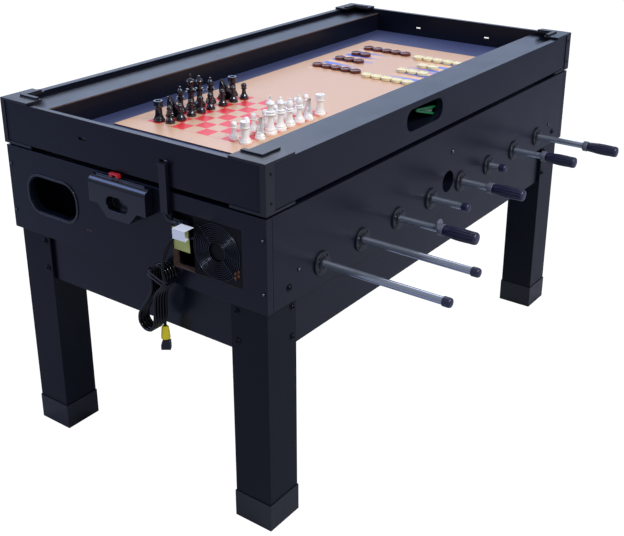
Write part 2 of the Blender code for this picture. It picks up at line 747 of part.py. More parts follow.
def corner_outline(side_x, side_y, arm):
    """The arm's points, given as distances from the frame's two outer faces, at one corner."""
    return [(side_x * (HALF_L - u), side_y * (HALF_W - v)) for u, v in arm]


def make_caps(carrier):
    """Plastic corner caps: two flanges, corner strips, a rib on top and a foot below."""
    low = (-GAP - FLANGE_T, -GAP)
    high = (RAIL_H + GAP, RAIL_H + GAP + FLANGE_T)
    rib_l = CAP_ARM_L - CAP_RIB_W / 2
    skin = -GAP
    strip = ((-CAP_PROUD, -CAP_PROUD), (CAP_STRIP_SIDE, -CAP_PROUD), (CAP_STRIP_SIDE, skin),
             (skin, skin), (skin, CAP_STRIP_END), (-CAP_PROUD, CAP_STRIP_END))
    for corner, (side_x, side_y, _) in CORNERS.items():
        top, bottom, rib, foot, edge = (bmesh.new() for _ in range(5))
        corner_plate(top, side_x, side_y, -CAP_PROUD, CAP_ARM_W, CAP_ARM_L, high)
        corner_plate(bottom, side_x, side_y, -CAP_PROUD, CAP_ARM_W, CAP_ARM_L, low)
        corner_plate(rib, side_x, side_y, CAP_RIB_OUT, CAP_RIB_OUT + CAP_RIB_W, rib_l,
                     (high[1] - FLANGE_T / 2, high[1] + CAP_RIB_H))
        corner_plate(foot, side_x, side_y, CAP_FOOT_OUT, CAP_FOOT_OUT + CAP_FOOT_W, rib_l,
                     (low[0] - CAP_FOOT_H, low[0] + FLANGE_T / 2))
        prism(edge, corner_outline(side_x, side_y, strip), "z",
              low[0] + FLANGE_T / 2, high[1] - FLANGE_T / 2)
        cap = keep(f"{corner}_corner_cap", top, "black_plastic", parent=carrier)
        for name, shape in (("edge", edge), ("flange", bottom), ("rib", rib), ("foot", foot)):
            combine(cap, cutter(f"{corner}_cap_{name}", shape, carrier), "UNION")


# Turned chess men: (share of the base's radius, share of the height)
BODY_SHARES = {
    "pawn": ((0, 0), (1, 0), (1, 0.14), (0.50, 0.28), (0.40, 0.58), (0.62, 0.72), (0.50, 0.90),
             (0, 1)),
    "rook": ((0, 0), (1, 0), (1, 0.14), (0.60, 0.28), (0.52, 0.70), (0.72, 0.76), (0.72, 1),
             (0, 1)),
    "knight": ((0, 0), (1, 0), (1, 0.14), (0.60, 0.28), (0.62, 0.55), (0.75, 0.75),
               (0.50, 0.95), (0, 1)),
    "bishop": ((0, 0), (1, 0), (1, 0.11), (0.58, 0.22), (0.42, 0.60), (0.62, 0.66), (0.46, 0.84),
               (0, 1)),
    "queen": ((0, 0), (1, 0), (1, 0.10), (0.58, 0.20), (0.42, 0.64), (0.64, 0.69), (0.60, 0.90),
              (0, 1)),
    "king": ((0, 0), (1, 0), (1, 0.10), (0.58, 0.20), (0.42, 0.64), (0.64, 0.69), (0.60, 0.88),
             (0.16, 0.91), (0.16, 1), (0, 1)),
}
# Height and base radius as shares of the pawn's
MEN_SHARES = {"pawn": (1.0, 1.0), "rook": (1.20, 1.24), "knight": (1.30, 1.24),
              "bishop": (1.62, 1.24), "queen": (1.85, 1.28), "king": (2.02, 1.28)}
BACK_RANK = ("rook", "knight", "bishop", "queen", "king", "bishop", "knight", "rook")


def chess_man(shape, kind, x, y, facing):
    """One man sunk a little into the board; a knight's head leans towards the other side."""
    tall, wide = MEN_SHARES[kind]
    height, radius = tall * PAWN_H, wide * PAWN_R
    before = set(shape.verts)
    profile = [(share * radius, rise * height) for share, rise in BODY_SHARES[kind]]
    profile[:2] = [(0, -BOARD_T / 2), (radius, -BOARD_T / 2)]
    turned(shape, profile, CHESS_SIDES)
    fresh = [corner for corner in shape.verts if corner not in before]
    if kind == "knight":
        for corner in fresh:
            above = max(0.0, corner.co.z - height / 2)
            corner.co.y += facing * above / 2
            corner.co.x *= 1 - above / height
    bmesh.ops.translate(shape, verts=fresh, vec=(x, y, BOARD_TOP))


def make_board():
    """The loose board and everything that stands on it."""
    board = keep("game_board", blocks(((-BOARD_L / 2, BOARD_L / 2), (-BOARD_W / 2, BOARD_W / 2),
                                       (FLOOR_TOP + GAP, BOARD_TOP))), "printed_board")
    men = bmesh.new()
    count = len(BACK_RANK)
    for side in (-1, 1):
        for index, kind in enumerate(BACK_RANK):
            x = CHESS_X + (index - (count - 1) / 2) * SQUARE
            chess_man(men, kind, x, side * SQUARE * (count - 1) / 2, -side)
            chess_man(men, "pawn", x, side * SQUARE * (count - 3) / 2, -side)
    combine(board, cutter("chess_men", men), "UNION")
    checkers = bmesh.new()
    low, high = BOARD_TOP - BOARD_T / 2, BOARD_TOP + CHECKER_T
    profile = ((0, low), (CHECKER_R, low), (CHECKER_R, high), (0, high))
    for column, number, brown_in, cream_in in CHECKER_ROW_SHARES:
        x = POINTS_X + (column + 1 / 2) * POINT_PITCH + (POINTS_BAR if column >= POINTS_BEFORE_BAR else 0)
        for index in range(number):
            turned(checkers, profile, CHECKER_SIDES,
                   at(x + BROWN_X, BROWN_Y - (index + brown_in) * CHECKER_PITCH, 0))
            turned(checkers, profile, CHECKER_SIDES,
                   at(x + CREAM_X, CREAM_Y + (index + cream_in) * CHECKER_PITCH, 0))
    combine(board, cutter("checkers", checkers), "UNION")


def make_fan():
    """Axial fan in the cut-out: guard, frame with its motor plate, and rotor."""
    shape = bmesh.new()
    radii = [GUARD_HUB_R]
    step = (GUARD_R - GUARD_HUB_R) / GUARD_RINGS
    for ring in range(GUARD_RINGS):
        edge = GUARD_HUB_R + (ring + 1) * step
        radii += [edge - GUARD_WIRE, edge]
    hub = shape.verts.new((0, 0, 0))
    loops = []
    for radius in radii:
        loops.append([shape.verts.new((radius * math.cos(math.tau * turn / GUARD_SIDES),
                                       radius * math.sin(math.tau * turn / GUARD_SIDES), 0))
                      for turn in range(GUARD_SIDES)])
    spoke_every = GUARD_SIDES // GUARD_SPOKES
    for turn in range(GUARD_SIDES):
        after = (turn + 1) % GUARD_SIDES
        shape.faces.new((hub, loops[0][turn], loops[0][after]))
        for band in range(len(radii) - 1):
            if band % 2 == 1 or turn % spoke_every == 0:
                shape.faces.new((loops[band][turn], loops[band + 1][turn],
                                 loops[band + 1][after], loops[band][after]))
    grown = bmesh.ops.extrude_face_region(shape, geom=shape.faces[:])["geom"]
    moved = [part for part in grown if isinstance(part, bmesh.types.BMVert)]
    bmesh.ops.translate(shape, verts=moved, vec=(0, 0, GUARD_T))
    place = at(GUARD_X, FAN_Y, FAN_Z) @ ALONG_X
    bmesh.ops.transform(shape, matrix=place, verts=shape.verts)
    keep("fan_guard", shape, "chrome_steel")

    half = FAN_SIDE / 2
    frame = keep("fan_frame", blocks(((0, FAN_T), (-half, half), (-half, half))), "black_plastic",
                 place=(FAN_X, FAN_Y, FAN_Z))
    bore = bmesh.new()
    turned(bore, ((0, -CUT), (FAN_BORE_R, -CUT), (FAN_BORE_R, FAN_T + CUT), (0, FAN_T + CUT)),
           FAN_SIDES, ALONG_X)
    bore = cutter("fan_bore", bore)
    bore.parent = frame
    combine(frame, bore, "DIFFERENCE")
    strut = FAN_STRUT_W / 2
    back = (FAN_T - FAN_MOTOR_T, FAN_T)
    cross = bmesh.new()
    block(cross, back, (-FAN_BORE_R - strut, FAN_BORE_R + strut), (-strut, strut))
    cross = cutter("fan_strut_across", cross)
    cross.parent = frame
    combine(frame, cross, "UNION")
    upright = blocks((back, (-strut, strut), (-FAN_BORE_R - strut, FAN_BORE_R + strut)))
    upright = cutter("fan_strut_up", upright)
    upright.parent = frame
    combine(frame, upright, "UNION")
    motor = bmesh.new()
    turned(motor, ((0, back[0] - GAP), (FAN_HUB_R, back[0] - GAP), (FAN_HUB_R, back[1] - GAP),
                   (0, back[1] - GAP)), FAN_SIDES, ALONG_X)
    motor = cutter("fan_motor", motor)
    motor.parent = frame
    combine(frame, motor, "UNION")

    rotor = bmesh.new()
    low = FAN_T - FAN_MOTOR_T - 2 * GAP - FAN_HUB_L
    high = low + FAN_HUB_L
    turned(rotor, ((0, low), (FAN_HUB_R, low), (FAN_HUB_R, high), (0, high)), 2 * FAN_BLADES)
    rotor.faces.ensure_lookup_table()
    walls = [face for face in rotor.faces if abs(face.normal.z) < WELD]
    walls.sort(key=lambda face: math.atan2(face.calc_center_median().y,
                                           face.calc_center_median().x))
    for face in walls[::2]:
        centre = face.calc_center_median()
        outward = Vector((centre.x, centre.y, 0)).normalized()
        narrow = (FAN_HUB_R * math.sin(math.pi / (2 * FAN_BLADES)) - FAN_BLADE_T)
        bmesh.ops.inset_region(rotor, faces=[face], thickness=narrow, depth=0)
        grown = bmesh.ops.extrude_discrete_faces(rotor, faces=[face])["faces"][0]
        bmesh.ops.translate(rotor, verts=grown.verts,
                            vec=outward * (FAN_BLADE_R - centre.length))
        middle = grown.calc_center_median()
        turn = Matrix.Rotation(FAN_BLADE_TWIST, 4, outward)
        bmesh.ops.rotate(rotor, verts=grown.verts, cent=middle, matrix=turn)
    bmesh.ops.transform(rotor, matrix=ALONG_X, verts=rotor.verts)
    keep("fan_rotor", rotor, "black_plastic", place=(FAN_X, FAN_Y, FAN_Z))


def make_power_box():
    """Box in the cut-out's upper corner, on a plate behind the panel, with two glands."""
    face = -HALF_L + POWER_OUT
    z0 = CABINET_BOTTOM + POWER_RISE
    box = keep("power_box", blocks(((face, face + POWER_D), (POWER_Y0, POWER_Y1),
                                    (z0, z0 + POWER_H))), "black_plastic")
    plate_z = CABINET_BOTTOM + PLATE_RISE
    plate_x = -HALF_L + PANEL_T + GAP
    plate = blocks(((plate_x, plate_x + PLATE_T), (POWER_Y0, PLATE_Y1),
                    (plate_z, plate_z + PLATE_H)))
    combine(box, cutter("power_plate", plate), "UNION")
    gland = bmesh.new()
    turned(gland, ((0, -GLAND_L), (GLAND_R, -GLAND_L), (GLAND_R, POWER_D / 2), (0, POWER_D / 2)),
           ROUND_SIDES, at(face, CORD_EXIT_Y, CABINET_BOTTOM + CORD_EXIT_RISE) @ ALONG_X)
    combine(box, cutter("cord_gland", gland), "UNION")
    link_x, link_z = -HALF_L - LINK_OUT, CABINET_BOTTOM + LINK_RISE
    neck = bmesh.new()
    turned(neck, ((0, link_x), (GLAND_R, link_x), (GLAND_R, face + POWER_D / 2),
                  (0, face + POWER_D / 2)), ROUND_SIDES, at(0, NUT_Y + NUT_L / 2, link_z) @ ALONG_X)
    combine(box, cutter("link_neck", neck), "UNION")
    nut = bmesh.new()
    turned(nut, ((0, 0), (NUT_R, 0), (NUT_R, NUT_L), (0, NUT_L)), ROUND_SIDES,
           at(link_x, NUT_Y, link_z) @ ALONG_Y)
    combine(box, cutter("link_nut", nut), "UNION")


def make_cable_cover():
    """Flat cover standing on the end panel and reaching up past the gap, just off the rail."""
    half = COVER_W / 2
    low = CABINET_BOTTOM + COVER_RISE
    out = -HALF_L - COVER_OFF
    cover = keep("cable_cover", blocks(((out - COVER_D, out), (COVER_Y - half, COVER_Y + half),
                                        (low, low + COVER_L))), "black_plastic")
    lip = blocks(((out - COVER_D - COVER_LIP, out - COVER_LIP / 2),
                  (COVER_Y - half - COVER_LIP, COVER_Y + half + COVER_LIP),
                  (low + COVER_L - COVER_LIP_H, low + COVER_L + COVER_LIP)))
    combine(cover, cutter("cover_lip", lip), "UNION")
    foot = blocks(((out - COVER_D / 2, -HALF_L - GAP),
                   (COVER_Y - half / 2, COVER_Y + half / 2),
                   (low + COVER_LIP, low + COVER_FOOT_H)))
    combine(cover, cutter("cover_foot", foot), "UNION")


def smooth_line(points, steps):
    """Points on a smooth curve through the given ones."""
    ends = [2 * points[0] - points[1], *points, 2 * points[-1] - points[-2]]
    line = []
    for a, b, c, d in zip(ends, ends[1:], ends[2:], ends[3:]):
        for step in range(steps):
            t = step / steps
            line.append(((2 * b) + (c - a) * t + (2 * a - 5 * b + 4 * c - d) * t * t
                         + (3 * b - a - 3 * c + d) * t ** 3) / 2)
    line.append(points[-1])
    return line


def tube(name, points, diameter, detail, finish):
    """A round tube along points."""
    curve = bpy.data.curves.new(name, "CURVE")
    curve.dimensions = "3D"
    curve.bevel_depth = diameter / 2
    curve.bevel_resolution = detail
    curve.use_fill_caps = True
    spline = curve.splines.new("POLY")
    spline.points.add(len(points) - 1)
    for spot, point in zip(spline.points, points):
        spot.co = (*point, 1)
    made = bpy.data.objects.new(name, curve)
    bpy.context.scene.collection.objects.link(made)
    curve.materials.append(material(finish))
    return made


def make_link_cable():
    """From under the cover, down and along to the gland nut on the power box."""
    x = -HALF_L - LINK_OUT
    start = CABINET_BOTTOM + COVER_RISE - GAP
    level = CABINET_BOTTOM + LINK_RISE
    drop = start - level
    end = NUT_Y + NUT_L + GAP
    run = COVER_Y - end
    # Shares of the drop and of the run, chosen by hand for one easy bend
    bend_shares = ((0, 1), (0, 0.90), (0, 0.80), (0.05, 0.52), (0.17, 0.24), (0.36, 0.07),
                   (0.58, 0), (0.80, 0), (1, 0))
    route = [Vector((x, COVER_Y - run * along, level + drop * up)) for along, up in bend_shares]
    tube("link_cable", smooth_line(route, 2), LINK_D, 2, "cord_rubber")


def hank_point(layer, along, across):
    """A place in the hank: layers count inwards, along runs down its length."""
    down = Vector((0, math.sin(HANK_LEAN), -math.cos(HANK_LEAN)))
    sideways = Vector((0, math.cos(HANK_LEAN), math.sin(HANK_LEAN)))
    top = Vector((-HALF_L - HANK_OUT + layer * HANK_STEP, HANK_TOP_Y,
                  CABINET_BOTTOM + HANK_TOP_RISE))
    return top + down * along + sideways * across


def hank_half_width(along):
    """Half the width between the two runs: full at both ends and drawn in at the waist."""
    start, end = HANK_END_HALF_W, HANK_L - HANK_END_HALF_W
    waist = start + (end - start) * HANK_WAIST_SHARE
    share = (waist - along) / (waist - start) if along < waist else (along - waist) / (end - waist)
    share = min(1.0, max(0.0, share))
    swing = (1 - math.cos(math.pi * share)) / 2
    return HANK_WAIST_HALF_W + (HANK_END_HALF_W - HANK_WAIST_HALF_W) * swing


def hank_line():
    """Loops that go down the right run and up the left one, each a layer further in."""
    start, end = HANK_END_HALF_W, HANK_L - HANK_END_HALF_W
    run_steps = HANK_POINTS // 3
    turn_steps = HANK_POINTS // 2 - run_steps
    line = []
    for loop in range(HANK_LOOPS + 1):
        for step in range(run_steps):
            share = step / run_steps
            along = start + (end - start) * share
            line.append(hank_point(loop + share * 3 / 8, along, -hank_half_width(along)))
        if loop == HANK_LOOPS:
            break
        for step in range(turn_steps):
            share = step / turn_steps
            angle = math.pi * share
            line.append(hank_point(loop + 3 / 8 + share / 8, end + start * math.sin(angle),
                                   -start * math.cos(angle)))
        for step in range(run_steps):
            share = step / run_steps
            along = end + (start - end) * share
            line.append(hank_point(loop + 1 / 2 + share * 3 / 8, along, hank_half_width(along)))
        for step in range(turn_steps):
            share = step / turn_steps
            angle = math.pi * share
            line.append(hank_point(loop + 7 / 8 + share / 8, start - start * math.sin(angle),
                                   start * math.cos(angle)))
    line.append(hank_point(HANK_LOOPS + 3 / 8, end, -start))
    return line


def least_gap(points, diameter):
    """The least gap of a tube to itself, measured on points a third of a diameter apart."""
    fine = []
    for a, b in zip(points, points[1:]):
        steps = max(1, math.ceil((b - a).length * THIRDS / diameter))
        fine += [a.lerp(b, step / steps) for step in range(steps)]
    least = min((fine[i] - fine[j]).length for i in range(len(fine))
                for j in range(i + NEIGHBOURS, len(fine)))
    return least - diameter


def make_cord():
    """Lead out of the gland, the hank with its tail, and the plug."""
    exit_point = Vector((-HALF_L + POWER_OUT - GLAND_L - GAP, CORD_EXIT_Y,
                         CABINET_BOTTOM + CORD_EXIT_RISE))
    # The lead's route from the gland, chosen by hand
    route = [exit_point + Vector(step) for step in (
        (0, 0, 0), (-0.0075, 0.0000, 0.0000), (-0.0150, 0.0008, -0.0020),
        (-0.0220, 0.0030, -0.0065), (-0.0275, 0.0068, -0.0135), (-0.0318, 0.0112, -0.0225),
        (-0.0352, 0.0155, -0.0330), (-0.0380, 0.0190, -0.0445), (-0.0401, 0.0208, -0.0560),
        (-0.0414, 0.0212, -0.0675), (-0.0421, 0.0205, -0.0790))]
    hank = hank_line()
    joint = hank[0]
    into = (hank[1] - hank[0]).normalized()
    lead = route + [joint - into * CORD_D, joint - into * CORD_D / 2, joint - into * GAP]
    lead_line = smooth_line(lead, 2)
    tube("power_cord_lead", lead_line, CORD_D, 2, "cord_rubber")
    leave = (hank[-1] - hank[-2]).normalized()
    tail = []
    here, heading = hank[-1], leave
    for step in range(TAIL_POINTS):
        heading = (leave.lerp(Vector((0, 0, -1)), (step + 1) / TAIL_POINTS)).normalized()
        here = here + heading * (TAIL_L / TAIL_POINTS)
        tail.append(here)
    end = tail[-1] + Vector((0, 0, -SLEEVE_L - CORD_D / 2))
    tail.append(end)
    tube("power_cord_hank", hank + tail, CORD_D, 1, "cord_rubber")
    print("least gap in the hank", round(least_gap(hank + tail, CORD_D), 5))

    x, y = end.x, end.y
    plug_top = end.z - GAP
    share = PLUG_TOP_SHARE
    outline = ((-PLUG_W / 2 * share, 0), (PLUG_W / 2 * share, 0), (PLUG_W / 2, -PLUG_H / 2),
               (PLUG_W / 2, -PLUG_H), (-PLUG_W / 2, -PLUG_H), (-PLUG_W / 2, -PLUG_H / 2))
    shape = bmesh.new()
    prism(shape, outline, "x", -PLUG_D / 2, PLUG_D / 2)
    plug = keep("plug", shape, "black_plastic", place=(x, y, plug_top))
    plug.rotation_euler.z = PLUG_TURN
    prongs = bmesh.new()
    for side in (-1, 1):
        spot = side * PRONG_SPACING / 2
        block(prongs, (0, PLUG_D / 2 + PRONG_L), (spot - PRONG_T / 2, spot + PRONG_T / 2),
              (-PLUG_H * PRONG_DOWN_SHARE - PRONG_W / 2,
               -PLUG_H * PRONG_DOWN_SHARE + PRONG_W / 2))
    prongs = cutter("plug_prongs", prongs)
    prongs.parent = plug
    combine(plug, prongs, "UNION")


make_legs()
make_aprons()
make_cabinet()
make_field()
make_rods()
make_end_boxes()
make_upper_frame()
make_board()
make_fan()
make_power_box()
make_cable_cover()
make_link_cable()
make_cord()
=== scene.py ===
"""Looks for the multi game table: a football cabinet, its upper frame, the board and the men."""
import math

import bmesh
import bpy
from bpy.props import (FloatProperty, FloatVectorProperty, IntProperty, PointerProperty)
from bpy.types import Operator, Panel, PropertyGroup
from mathutils import Matrix, Vector


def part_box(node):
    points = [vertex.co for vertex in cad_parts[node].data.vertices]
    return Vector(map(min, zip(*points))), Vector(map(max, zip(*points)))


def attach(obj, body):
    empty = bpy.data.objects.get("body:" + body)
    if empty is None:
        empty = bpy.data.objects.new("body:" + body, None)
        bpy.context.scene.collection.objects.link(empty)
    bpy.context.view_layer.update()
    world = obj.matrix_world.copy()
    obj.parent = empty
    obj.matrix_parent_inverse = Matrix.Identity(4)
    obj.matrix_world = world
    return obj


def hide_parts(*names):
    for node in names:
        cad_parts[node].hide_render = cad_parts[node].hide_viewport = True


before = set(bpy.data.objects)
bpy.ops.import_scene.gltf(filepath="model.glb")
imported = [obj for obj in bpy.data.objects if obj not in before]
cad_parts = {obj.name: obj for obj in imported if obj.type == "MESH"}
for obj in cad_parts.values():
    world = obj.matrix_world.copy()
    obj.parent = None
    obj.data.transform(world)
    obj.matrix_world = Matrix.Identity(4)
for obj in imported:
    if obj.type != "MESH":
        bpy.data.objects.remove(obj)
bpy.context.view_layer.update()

bl_info = {
    "name": "Multi game table",
    "version": (1, 0, 0),
    "blender": (4, 5, 0),
    "location": "3D View > Sidebar > Game Table",
    "description": "Dresses a football table with its lift-off frame, game board and men",
    "category": "Add Mesh",
}

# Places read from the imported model
LEG_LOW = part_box("near_front_leg")[0]
LEG_OUT_X = -LEG_LOW.x
LEG_OUT_Y = -LEG_LOW.y
HALF_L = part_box("cabinet_far_panel")[1].x
HALF_W = -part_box("upper_front_rail")[0].y
CABINET_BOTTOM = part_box("cabinet_near_panel")[0].z
BOARD_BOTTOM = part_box("game_board")[0].z
# The board's printed face lies this far above the well's floor
PRINT_RISE = 0.0033
BOARD_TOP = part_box("upper_floor")[1].z + PRINT_RISE

MM = 0.001
WELD = 1e-6
# Edges that turn more than these are eased, kept sharp on flat parts, or kept sharp on round ones
SHARP = math.radians(30)
CREASE = math.radians(38)
ROUND_CREASE = 1.2
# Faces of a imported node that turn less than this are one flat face
FLAT = math.radians(0.5)


def linear(hex_colour):
    """An sRGB hex colour as linear red, green, blue and full alpha."""
    parts = [int(hex_colour[at:at + 2], 16) / 255 for at in (0, 2, 4)]
    return (*(p / 12.92 if p <= 0.04045 else ((p + 0.055) / 1.055) ** 2.4 for p in parts), 1.0)


def colour_of(name, description, hex_colour):
    """A colour setting whose default is an sRGB hex value."""
    return FloatVectorProperty(name=name, description=description, subtype="COLOR", size=3,
                               min=0.0, max=1.0, default=linear(hex_colour)[:3])


def length_of(name, description, metres):
    """A length setting."""
    return FloatProperty(name=name, description=description, default=metres, min=0.0,
                         unit="LENGTH", precision=4)


class TableColours(PropertyGroup):
    """Colours of the table's finishes"""
    laminate: colour_of("Laminate", "Melamine faced board of the cabinet and frame", "0D101C")
    raw_board: colour_of("Raw board", "Cut fibreboard edges", "5B463C")
    plastic: colour_of("Plastic", "Moulded boots, caps, bushings and end boxes", "0B0D17")
    steel: colour_of("Steel", "Chromed tube and plated screws", "A6ADBC")
    field: colour_of("Field", "Printed football field", "1F7A3C")
    team_red: colour_of("Red team", "Men of the rods gripped at the back", "B5121B")
    team_blue: colour_of("Blue team", "Men of the rods gripped at the front", "163C9C")
    wood_print: colour_of("Board", "Wood ground printed on the game board", "DEB18C")
    red_print: colour_of("Red print", "Red squares of the chessboard", "EA2028")
    blue_print: colour_of("Blue print", "Blue points and bar line", "5577DC")
    chess_white: colour_of("White men", "Pale chess men", "FBF9F0")
    chess_black: colour_of("Black men", "Dark chess men", "101019")
    checker_brown: colour_of("Brown checkers", "Dark checkers", "5E241E")
    checker_cream: colour_of("Cream checkers", "Pale checkers", "EFE3B2")
    slider: colour_of("Score slider", "Red score marker", "D0202A")


class RodSettings(PropertyGroup):
    """Sizes of the football rods"""
    radius: length_of("Rod radius", "Half the tube's diameter", 0.008)
    travel_wide: length_of("Travel, one or two men", "From the middle to either stop", 0.134)
    travel_three: length_of("Travel, three men", "From the middle to either stop", 0.104)
    travel_five: length_of("Travel, five men", "From the middle to either stop", 0.071)
    grip_length: length_of("Grip length", "Grip with its collar", 0.092)
    grip_radius: length_of("Grip radius", "Half the grip's diameter", 0.0145)
    flutes: IntProperty(name="Grip flutes", description="Grooves along the grip", default=14,
                        min=6, max=30)
    man_height: length_of("Man above the rod", "From the rod's axis to the head's top", 0.036)
    man_foot: length_of("Man below the rod", "From the rod's axis to the foot", 0.070)


class BoardSettings(PropertyGroup):
    """Sizes of the game board and the men on it"""
    length: length_of("Board length", "Along the table", 1.030)
    width: length_of("Board width", "Across the table", 0.384)
    square: length_of("Chess square", "Side of one square", 0.0360)
    chess_x: FloatProperty(name="Chessboard", description="Place of its middle along the table",
                           default=-0.315, unit="LENGTH", precision=4)
    pawn_height: length_of("Pawn height", "From the board to the pawn's head", 0.039)
    pawn_radius: length_of("Pawn radius", "Half the width of the pawn's base", 0.0107)
    checker_radius: length_of("Checker radius", "Half a checker's diameter", 0.0147)
    checker_height: length_of("Checker height", "Thickness of a checker", 0.0080)


class StageSettings(PropertyGroup):
    """Camera, lamps and floor"""
    lens: FloatProperty(name="Lens", description="Focal length on a 36 mm wide sensor",
                        default=57.91, min=10.0, unit="CAMERA")
    eye: FloatVectorProperty(name="Camera place", description="Where the camera stands",
                             subtype="TRANSLATION", default=(-1.9690, -1.4224, 1.4093))
    heading: FloatProperty(name="Heading", description="Turn of the view from the Y axis to X",
                           subtype="ANGLE", default=math.radians(53.66))
    tilt: FloatProperty(name="Tilt", description="How far the camera looks down",
                        subtype="ANGLE", default=math.radians(21.69))
    drop: FloatProperty(name="Shift down", description="Vertical shift, in frame widths",
                        default=-0.1090, min=-0.5, max=0.5)
    sky: FloatProperty(name="Sky strength", description="Light from all round", default=0.42,
                       min=0.0)
    key: FloatProperty(name="Key lamp", description="Power of the soft lamp overhead",
                       default=105.0, min=0.0, unit="POWER")
    glow: FloatProperty(name="Sky window", description="Bluish light that the tops reflect",
                        default=140.0, min=0.0, unit="POWER")


def in_mm(*points):
    """Points given in millimetres, as metres."""
    return tuple(tuple(part * MM for part in point) for point in points)


def add(tree, kind, inputs=None, **settings):
    """Adds one node; an input is a value, a socket, or a node whose first live output it takes."""
    node = tree.nodes.new("ShaderNode" + kind)
    for name, value in settings.items():
        setattr(node, name, value)
    for name, value in (inputs or {}).items():
        if isinstance(value, bpy.types.Node):
            value = next(socket for socket in value.outputs if socket.enabled)
        if isinstance(value, bpy.types.NodeSocket):
            tree.links.new(value, node.inputs[name])
        else:
            node.inputs[name].default_value = value
    return node


def shaded(colour, share):
    """A linear colour made lighter or darker, with alpha."""
    return (*(min(1.0, part * share) for part in colour[:3]), 1.0)


def started(name):
    """A new material with an empty tree."""
    made = bpy.data.materials.new(name)
    made.use_nodes = True
    made.node_tree.nodes.clear()
    return made, made.node_tree


def finished(tree, colour, roughness, normal, **values):
    """Ends a tree in one Principled shader."""
    inputs = {"Base Color": colour, "Roughness": roughness}
    inputs.update({name.replace("_", " "): value for name, value in values.items()})
    inputs["Normal"] = normal
    shader = add(tree, "BsdfPrincipled", inputs)
    add(tree, "OutputMaterial", {"Surface": shader})


def surface(name, colour, roughness, grain_mm, relief_mm, mottle, spread=0.05, cloud_mm=60.0,
            **values):
    """A material with fine relief, and cloudy changes of tone and gloss."""
    made, tree = started(name)
    spot = add(tree, "TexCoord").outputs["Object"]
    fine = add(tree, "TexNoise", {"Vector": spot, "Scale": 1 / (grain_mm * MM), "Detail": 3.0,
                                  "Roughness": 0.6})
    broad = add(tree, "TexNoise", {"Vector": spot, "Scale": 1 / (cloud_mm * MM), "Detail": 5.0,
                                   "Roughness": 0.62})
    tone = add(tree, "Mix", {0: broad, 6: shaded(colour, 1 - mottle),
                             7: shaded(colour, 1 + mottle)}, data_type="RGBA")
    gloss = add(tree, "MapRange", {"Value": broad, "From Min": 0.3, "From Max": 0.7,
                                   "To Min": roughness - spread, "To Max": roughness + spread})
    bump = add(tree, "Bump", {"Height": fine, "Distance": relief_mm * MM, "Strength": 1.0})
    finished(tree, tone, gloss, bump, **values)
    return made


def raw_fibreboard(name, colour):
    """Sawn MDF edge: short brown fibres in layers that lie with the faces, quite dull."""
    made, tree = started(name)
    spot = add(tree, "TexCoord").outputs["Object"]
    # Fibres about 0.4 mm thick, drawn twice as coarse so that they show
    layers = add(tree, "TexNoise", {"Vector": spot, "Scale": 1 / (0.8 * MM), "Detail": 4.0})
    broad = add(tree, "TexNoise", {"Vector": spot, "Scale": 1 / (14 * MM), "Detail": 2.0})
    mixed = add(tree, "Mix", {0: 0.5, 2: layers, 3: broad}, data_type="FLOAT")
    tone = add(tree, "Mix", {0: mixed, 6: shaded(colour, 0.45), 7: shaded(colour, 1.6)},
               data_type="RGBA")
    bump = add(tree, "Bump", {"Height": layers, "Distance": 0.25 * MM})
    finished(tree, tone, 0.85, bump, IOR=1.45)
    return made


# Football field: half a line's width, centre circle, goal line and side line
FIELD_LINE = 3 * MM
FIELD_CIRCLE = 0.095
FIELD_GOAL_X = 0.570
FIELD_SIDE_Y = 0.315
# Each goal area's reach from the goal line and its half width
GOAL_AREAS = ((0.175, 0.185), (0.080, 0.110))


def printed_field(name, colour):
    """Football field: satin print with white lines 6 mm wide, as on board under film."""
    made, tree = started(name)
    spot = add(tree, "TexCoord").outputs["Object"]
    x, y = add(tree, "SeparateXYZ", {0: spot}).outputs[:2]
    away = add(tree, "Math", {0: x}, operation="ABSOLUTE")
    across = add(tree, "Math", {0: y}, operation="ABSOLUTE")
    flat = add(tree, "VectorMath", {0: spot, 1: (1.0, 1.0, 0.0)}, operation="MULTIPLY")
    reach = add(tree, "VectorMath", {0: flat}, operation="LENGTH")
    marks = [add(tree, "Math", {0: value, 1: place, 2: FIELD_LINE}, operation="COMPARE")
             for value, place in ((away, 0.0), (reach, FIELD_CIRCLE), (away, FIELD_GOAL_X),
                                  (across, FIELD_SIDE_Y))]
    # Goal areas: two boxes before each goal
    for length, width in GOAL_AREAS:
        edge = FIELD_GOAL_X - length
        front = add(tree, "Math", {0: away, 1: edge, 2: FIELD_LINE}, operation="COMPARE")
        side = add(tree, "Math", {0: across, 1: width, 2: FIELD_LINE}, operation="COMPARE")
        within = add(tree, "Math", {0: across, 1: width}, operation="LESS_THAN")
        beyond = add(tree, "Math", {0: away, 1: edge}, operation="GREATER_THAN")
        marks.append(add(tree, "Math", {0: front, 1: within}, operation="MULTIPLY"))
        marks.append(add(tree, "Math", {0: side, 1: beyond}, operation="MULTIPLY"))
    line = marks[0]
    for mark in marks[1:]:
        line = add(tree, "Math", {0: line, 1: mark}, operation="MAXIMUM")
    broad = add(tree, "TexNoise", {"Vector": spot, "Scale": 1 / (50 * MM), "Detail": 4.0})
    ground = add(tree, "Mix", {0: broad, 6: shaded(colour, 0.88), 7: shaded(colour, 1.12)},
                 data_type="RGBA")
    tone = add(tree, "Mix", {0: line, 6: ground, 7: linear("E9ECE6")}, data_type="RGBA")
    fine = add(tree, "TexNoise", {"Vector": spot, "Scale": 1 / (1.2 * MM), "Detail": 2.0})
    bump = add(tree, "Bump", {"Height": fine, "Distance": 0.04 * MM})
    finished(tree, tone, 0.42, bump, IOR=1.5)
    return made


# Chessboard: width of the red frame round it
CHESS_RIM = 1.2 * MM
